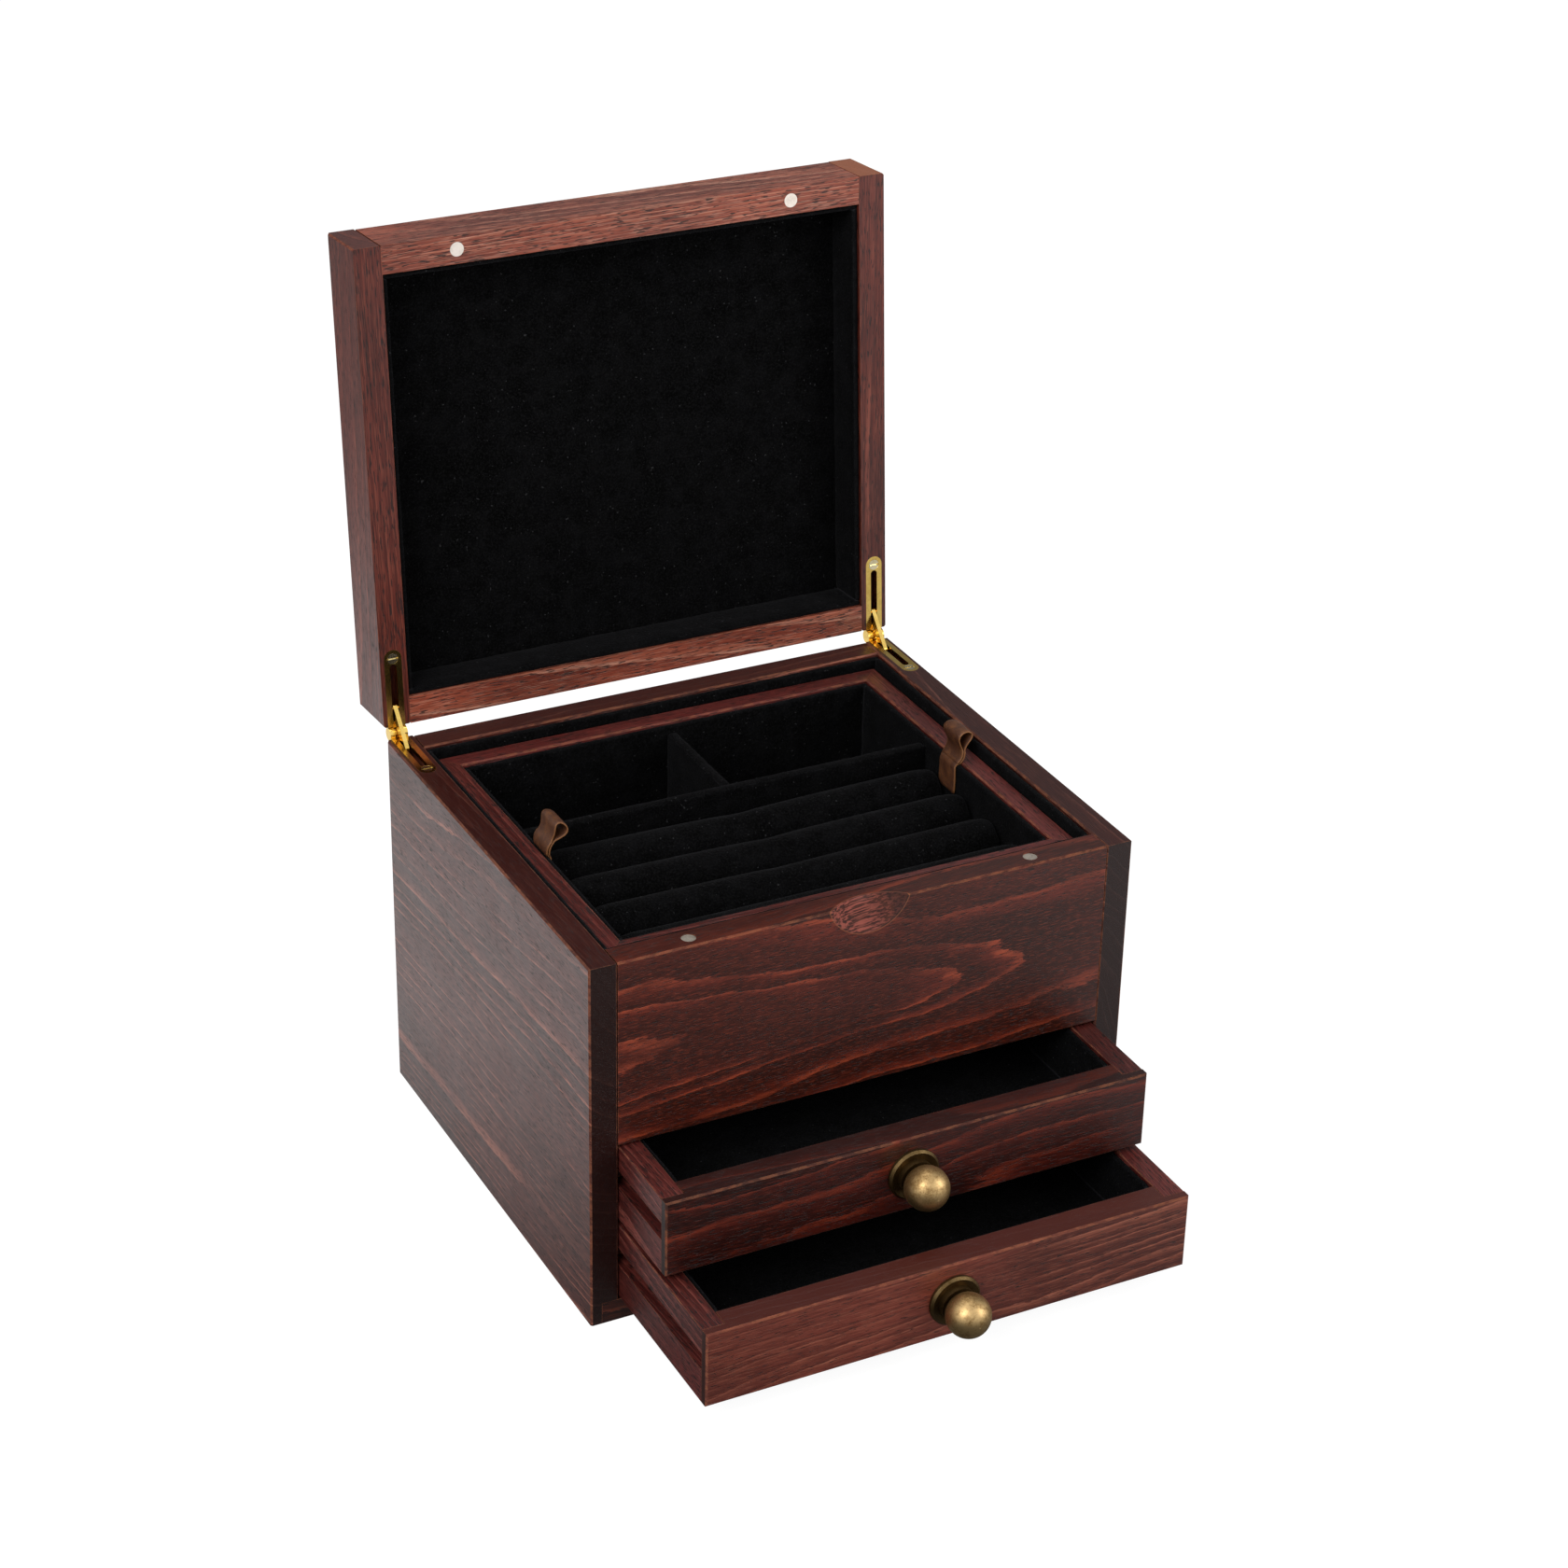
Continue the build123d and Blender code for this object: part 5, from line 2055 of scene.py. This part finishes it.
@dataclass(frozen=True)
class CameraRig:
    """The camera, by the direction it looks back along.

    Attributes:
        azimuth: degrees round from the front, towards +X.
        elevation: degrees above the horizon.
        roll: degrees.
        distance: from the aim to the camera, in metres.
        lens: in millimetres.
        sensor: its width, in millimetres.
        clip: nearest and farthest distance that it sees, in metres.
        aim: the point it looks at, in metres.
    """

    azimuth: float = -27.53
    elevation: float = 28.03
    roll: float = 1.28
    distance: float = 1.21997
    lens: float = 81.75
    sensor: float = 36.0
    clip: Span = (0.02, 20.0)
    aim: Triple = (0.00903, -0.00651, 0.14066)

    def build(self) -> bpy.types.Object:
        """Make the camera and set it as the scene's.

        Returns:
            The camera.
        """
        az, el, ro = (math.radians(v) for v in (self.azimuth, self.elevation, self.roll))
        back = Vector((math.sin(az) * math.cos(el), -math.cos(az) * math.cos(el), math.sin(el)))
        right = Vector((math.cos(az), math.sin(az), 0))
        up = back.cross(right)
        x = right * math.cos(ro) + up * math.sin(ro)
        y = up * math.cos(ro) - right * math.sin(ro)
        place = Vector(self.aim) + back * self.distance
        data = bpy.data.cameras.new("camera")
        data.lens, data.sensor_width = self.lens, self.sensor
        data.clip_start, data.clip_end = self.clip
        camera = placed("camera", data)
        camera.matrix_world = Matrix((
            (x.x, y.x, back.x, place.x), (x.y, y.y, back.y, place.y),
            (x.z, y.z, back.z, place.z), (0, 0, 0, 1)))
        bpy.context.scene.camera = camera
        LOG.info("camera at %.3f m", self.distance)
        return camera


@dataclass(frozen=True)
class SoftBox:
    """A rectangular area lamp aimed at the chest.

    Attributes:
        name: of the lamp.
        place: in metres.
        size: width and height, in metres.
        level: how much of a plain colour it shows by itself on a face turned to it.
        aim: the point it faces, in metres.
    """

    name: str
    place: Triple
    size: Span
    level: float
    aim: Triple = (0.0, 0.0, 0.13)

    def build(self) -> bpy.types.Object:
        """Make the lamp.

        Returns:
            The lamp.
        """
        data = bpy.data.lights.new(self.name, "AREA")
        data.shape = "RECTANGLE"
        data.size, data.size_y = self.size
        towards = Vector(self.aim) - Vector(self.place)
        # a small lamp of E watts shows a white face at distance r at a level of E / (pi r) ** 2
        data.energy = self.level * math.pi ** 2 * towards.length_squared
        lamp = placed(self.name, data)
        lamp.matrix_world = (Matrix.Translation(self.place)
                             @ towards.to_track_quat("-Z", "Y").to_matrix().to_4x4())
        LOG.info("lamp %s, level %g", self.name, self.level)
        return lamp


@dataclass(frozen=True)
class Surroundings:
    """The world: white to the camera, metal and glass, and even light to everything else.

    Attributes:
        ambient: level of the even light from all round.
        card_towards: where a dark card hangs in what metal and lacquer mirror.
        card_edge: cosines from the card's direction at which it starts and is full.
        card_level: how much of the white it leaves.
    """

    ambient: float = 0.34
    card_towards: Triple = (0.41, 0.78, 0.47)
    card_edge: Span = (0.40, 0.80)
    card_level: float = 0.22

    def build(self) -> None:
        """Make the world and set it as the scene's."""
        world = bpy.data.worlds.new("studio")
        bpy.context.scene.world = world
        g = bare_graph(world)
        towards = g.node("ShaderNodeTexCoord").outputs["Generated"]
        card = g.step(g.vector("DOT_PRODUCT", towards, Vector(self.card_towards)),
                      *self.card_edge, 1.0, self.card_level)
        even, mirrored, white = (
            g.node("ShaderNodeBackground", {"Color": WHITE, "Strength": level}).outputs[0]
            for level in (self.ambient, card, 1.0))
        out = g.node("ShaderNodeOutputWorld")
        g.put(out.inputs["Surface"], by_ray(g, even, mirrored, white))
        LOG.info("surroundings, ambient %g", self.ambient)


@dataclass(frozen=True)
class Floor:
    """A pale floor that is white round the chest and keeps its shadow.

    Attributes:
        size: half its width, in metres.
        paint: how much light it gives back.
        share: how much of what the camera sees is a plain white glow.
        level: of that glow.
        behind: direction of the floor that the left side mirrors.
        behind_from: distances that way between which it brightens, in metres.
        fade: distances from the chest between which it dims again, and to what.
        ahead: direction of the floor that the fronts mirror.
        ahead_from: distances that way between which it brightens, and its two levels.
    """

    size: float = 6.0
    paint: float = 0.9
    share: float = 0.78
    level: float = 1.2
    behind: Triple = (-0.55, 0.83, 0.0)
    behind_from: Span = (-0.10, 0.22)
    fade: Ramp = (0.35, 0.75, 1.0, 0.30)
    ahead: Triple = (0.95, -0.2, 0.0)
    ahead_from: Ramp = (-0.02, 0.34, 0.08, 0.62)

    def glow(self, g: Graph) -> Socket:
        """Shade what lacquer and metal mirror in the floor.

        Args:
            g: the material's graph.

        Returns:
            The strength of its glow.
        """
        spot = g.own_point()
        behind = g.step(g.vector("DOT_PRODUCT", spot, Vector(self.behind)), *self.behind_from)
        fade = g.step(g.vector("LENGTH", spot), *self.fade)
        ahead = g.step(g.vector("DOT_PRODUCT", spot, Vector(self.ahead)), *self.ahead_from)
        return g.math("MAXIMUM", g.math("MULTIPLY", behind, fade), ahead)

    def build(self) -> bpy.types.Object:
        """Make the floor.

        Returns:
            The floor.
        """
        material = bpy.data.materials.new("floor")
        g = bare_graph(material)
        matt = g.node("ShaderNodeBsdfDiffuse", {"Color": (self.paint,) * 3 + (1,)}).outputs[0]
        white, mirrored = (
            g.node("ShaderNodeEmission", {"Color": WHITE, "Strength": level}).outputs[0]
            for level in (self.level, self.glow(g)))
        lit = g.node("ShaderNodeMixShader", {0: self.share, 1: matt, 2: white}).outputs[0]
        out = g.node("ShaderNodeOutputMaterial")
        g.put(out.inputs["Surface"], by_ray(g, matt, mirrored, lit))
        mesh = bmesh.new()
        bmesh.ops.create_grid(mesh, x_segments=1, y_segments=1, size=self.size)
        LOG.info("floor, white share %g", self.share)
        return mesh_object("floor", mesh, material, smooth=False)


def by_ray(g: Graph, even: Socket, mirrored: Socket, seen: Socket) -> Socket:
    """Choose a shader by the kind of ray that meets it.

    Args:
        g: the graph.
        even: what lights the scene.
        mirrored: what reflections show.
        seen: what the camera sees, by itself or through glass.

    Returns:
        The chosen shader.
    """
    path = g.node("ShaderNodeLightPath").outputs
    direct = g.math("MAXIMUM", path["Is Camera Ray"], path["Is Transmission Ray"])
    first = g.node("ShaderNodeMixShader", {0: path["Is Glossy Ray"], 1: even, 2: mirrored})
    return g.node("ShaderNodeMixShader", {0: direct, 1: first.outputs[0], 2: seen}).outputs[0]


@dataclass(frozen=True)
class Studio:
    """Everything round the chest.

    Attributes:
        surroundings: the world.
        floor: what the chest stands on.
        lamps: the soft boxes.
        camera: the camera.
    """

    surroundings: Surroundings = Surroundings()
    floor: Floor = Floor()
    lamps: tuple[SoftBox, ...] = (
        SoftBox("key_left", (-1.15, -0.75, 1.25), (0.9, 0.9), 0.42),
        SoftBox("fill_right", (0.66, -0.66, 0.50), (0.45, 0.55), 0.25),
        SoftBox("top", (0.1, 0.35, 1.5), (0.9, 0.7), 0.22),
    )
    camera: CameraRig = CameraRig()

    def build(self) -> None:
        """Set the stage."""
        self.surroundings.build()
        self.floor.build()
        [lamp.build() for lamp in self.lamps]
        self.camera.build()
        bpy.context.scene.view_settings.view_transform = "Standard"


def main() -> None:
    """Build the chest's sub-assemblies in order, light them and note the sizes."""
    shop = Workshop()
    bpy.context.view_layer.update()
    links = [StopLink(f"stop_link_{side.value}") for side in Side]
    for part in (Chest(), Lid(), *links, Tray(), Drawer("upper_drawer", seed=4, front=FRONT),
                 Drawer("lower_drawer", seed=5, front=PALE_FRONT)):
        part.build(shop)
    Studio().build()


if __name__ == "__main__":
    logging.basicConfig(level=logging.INFO, format="%(message)s")
    main()
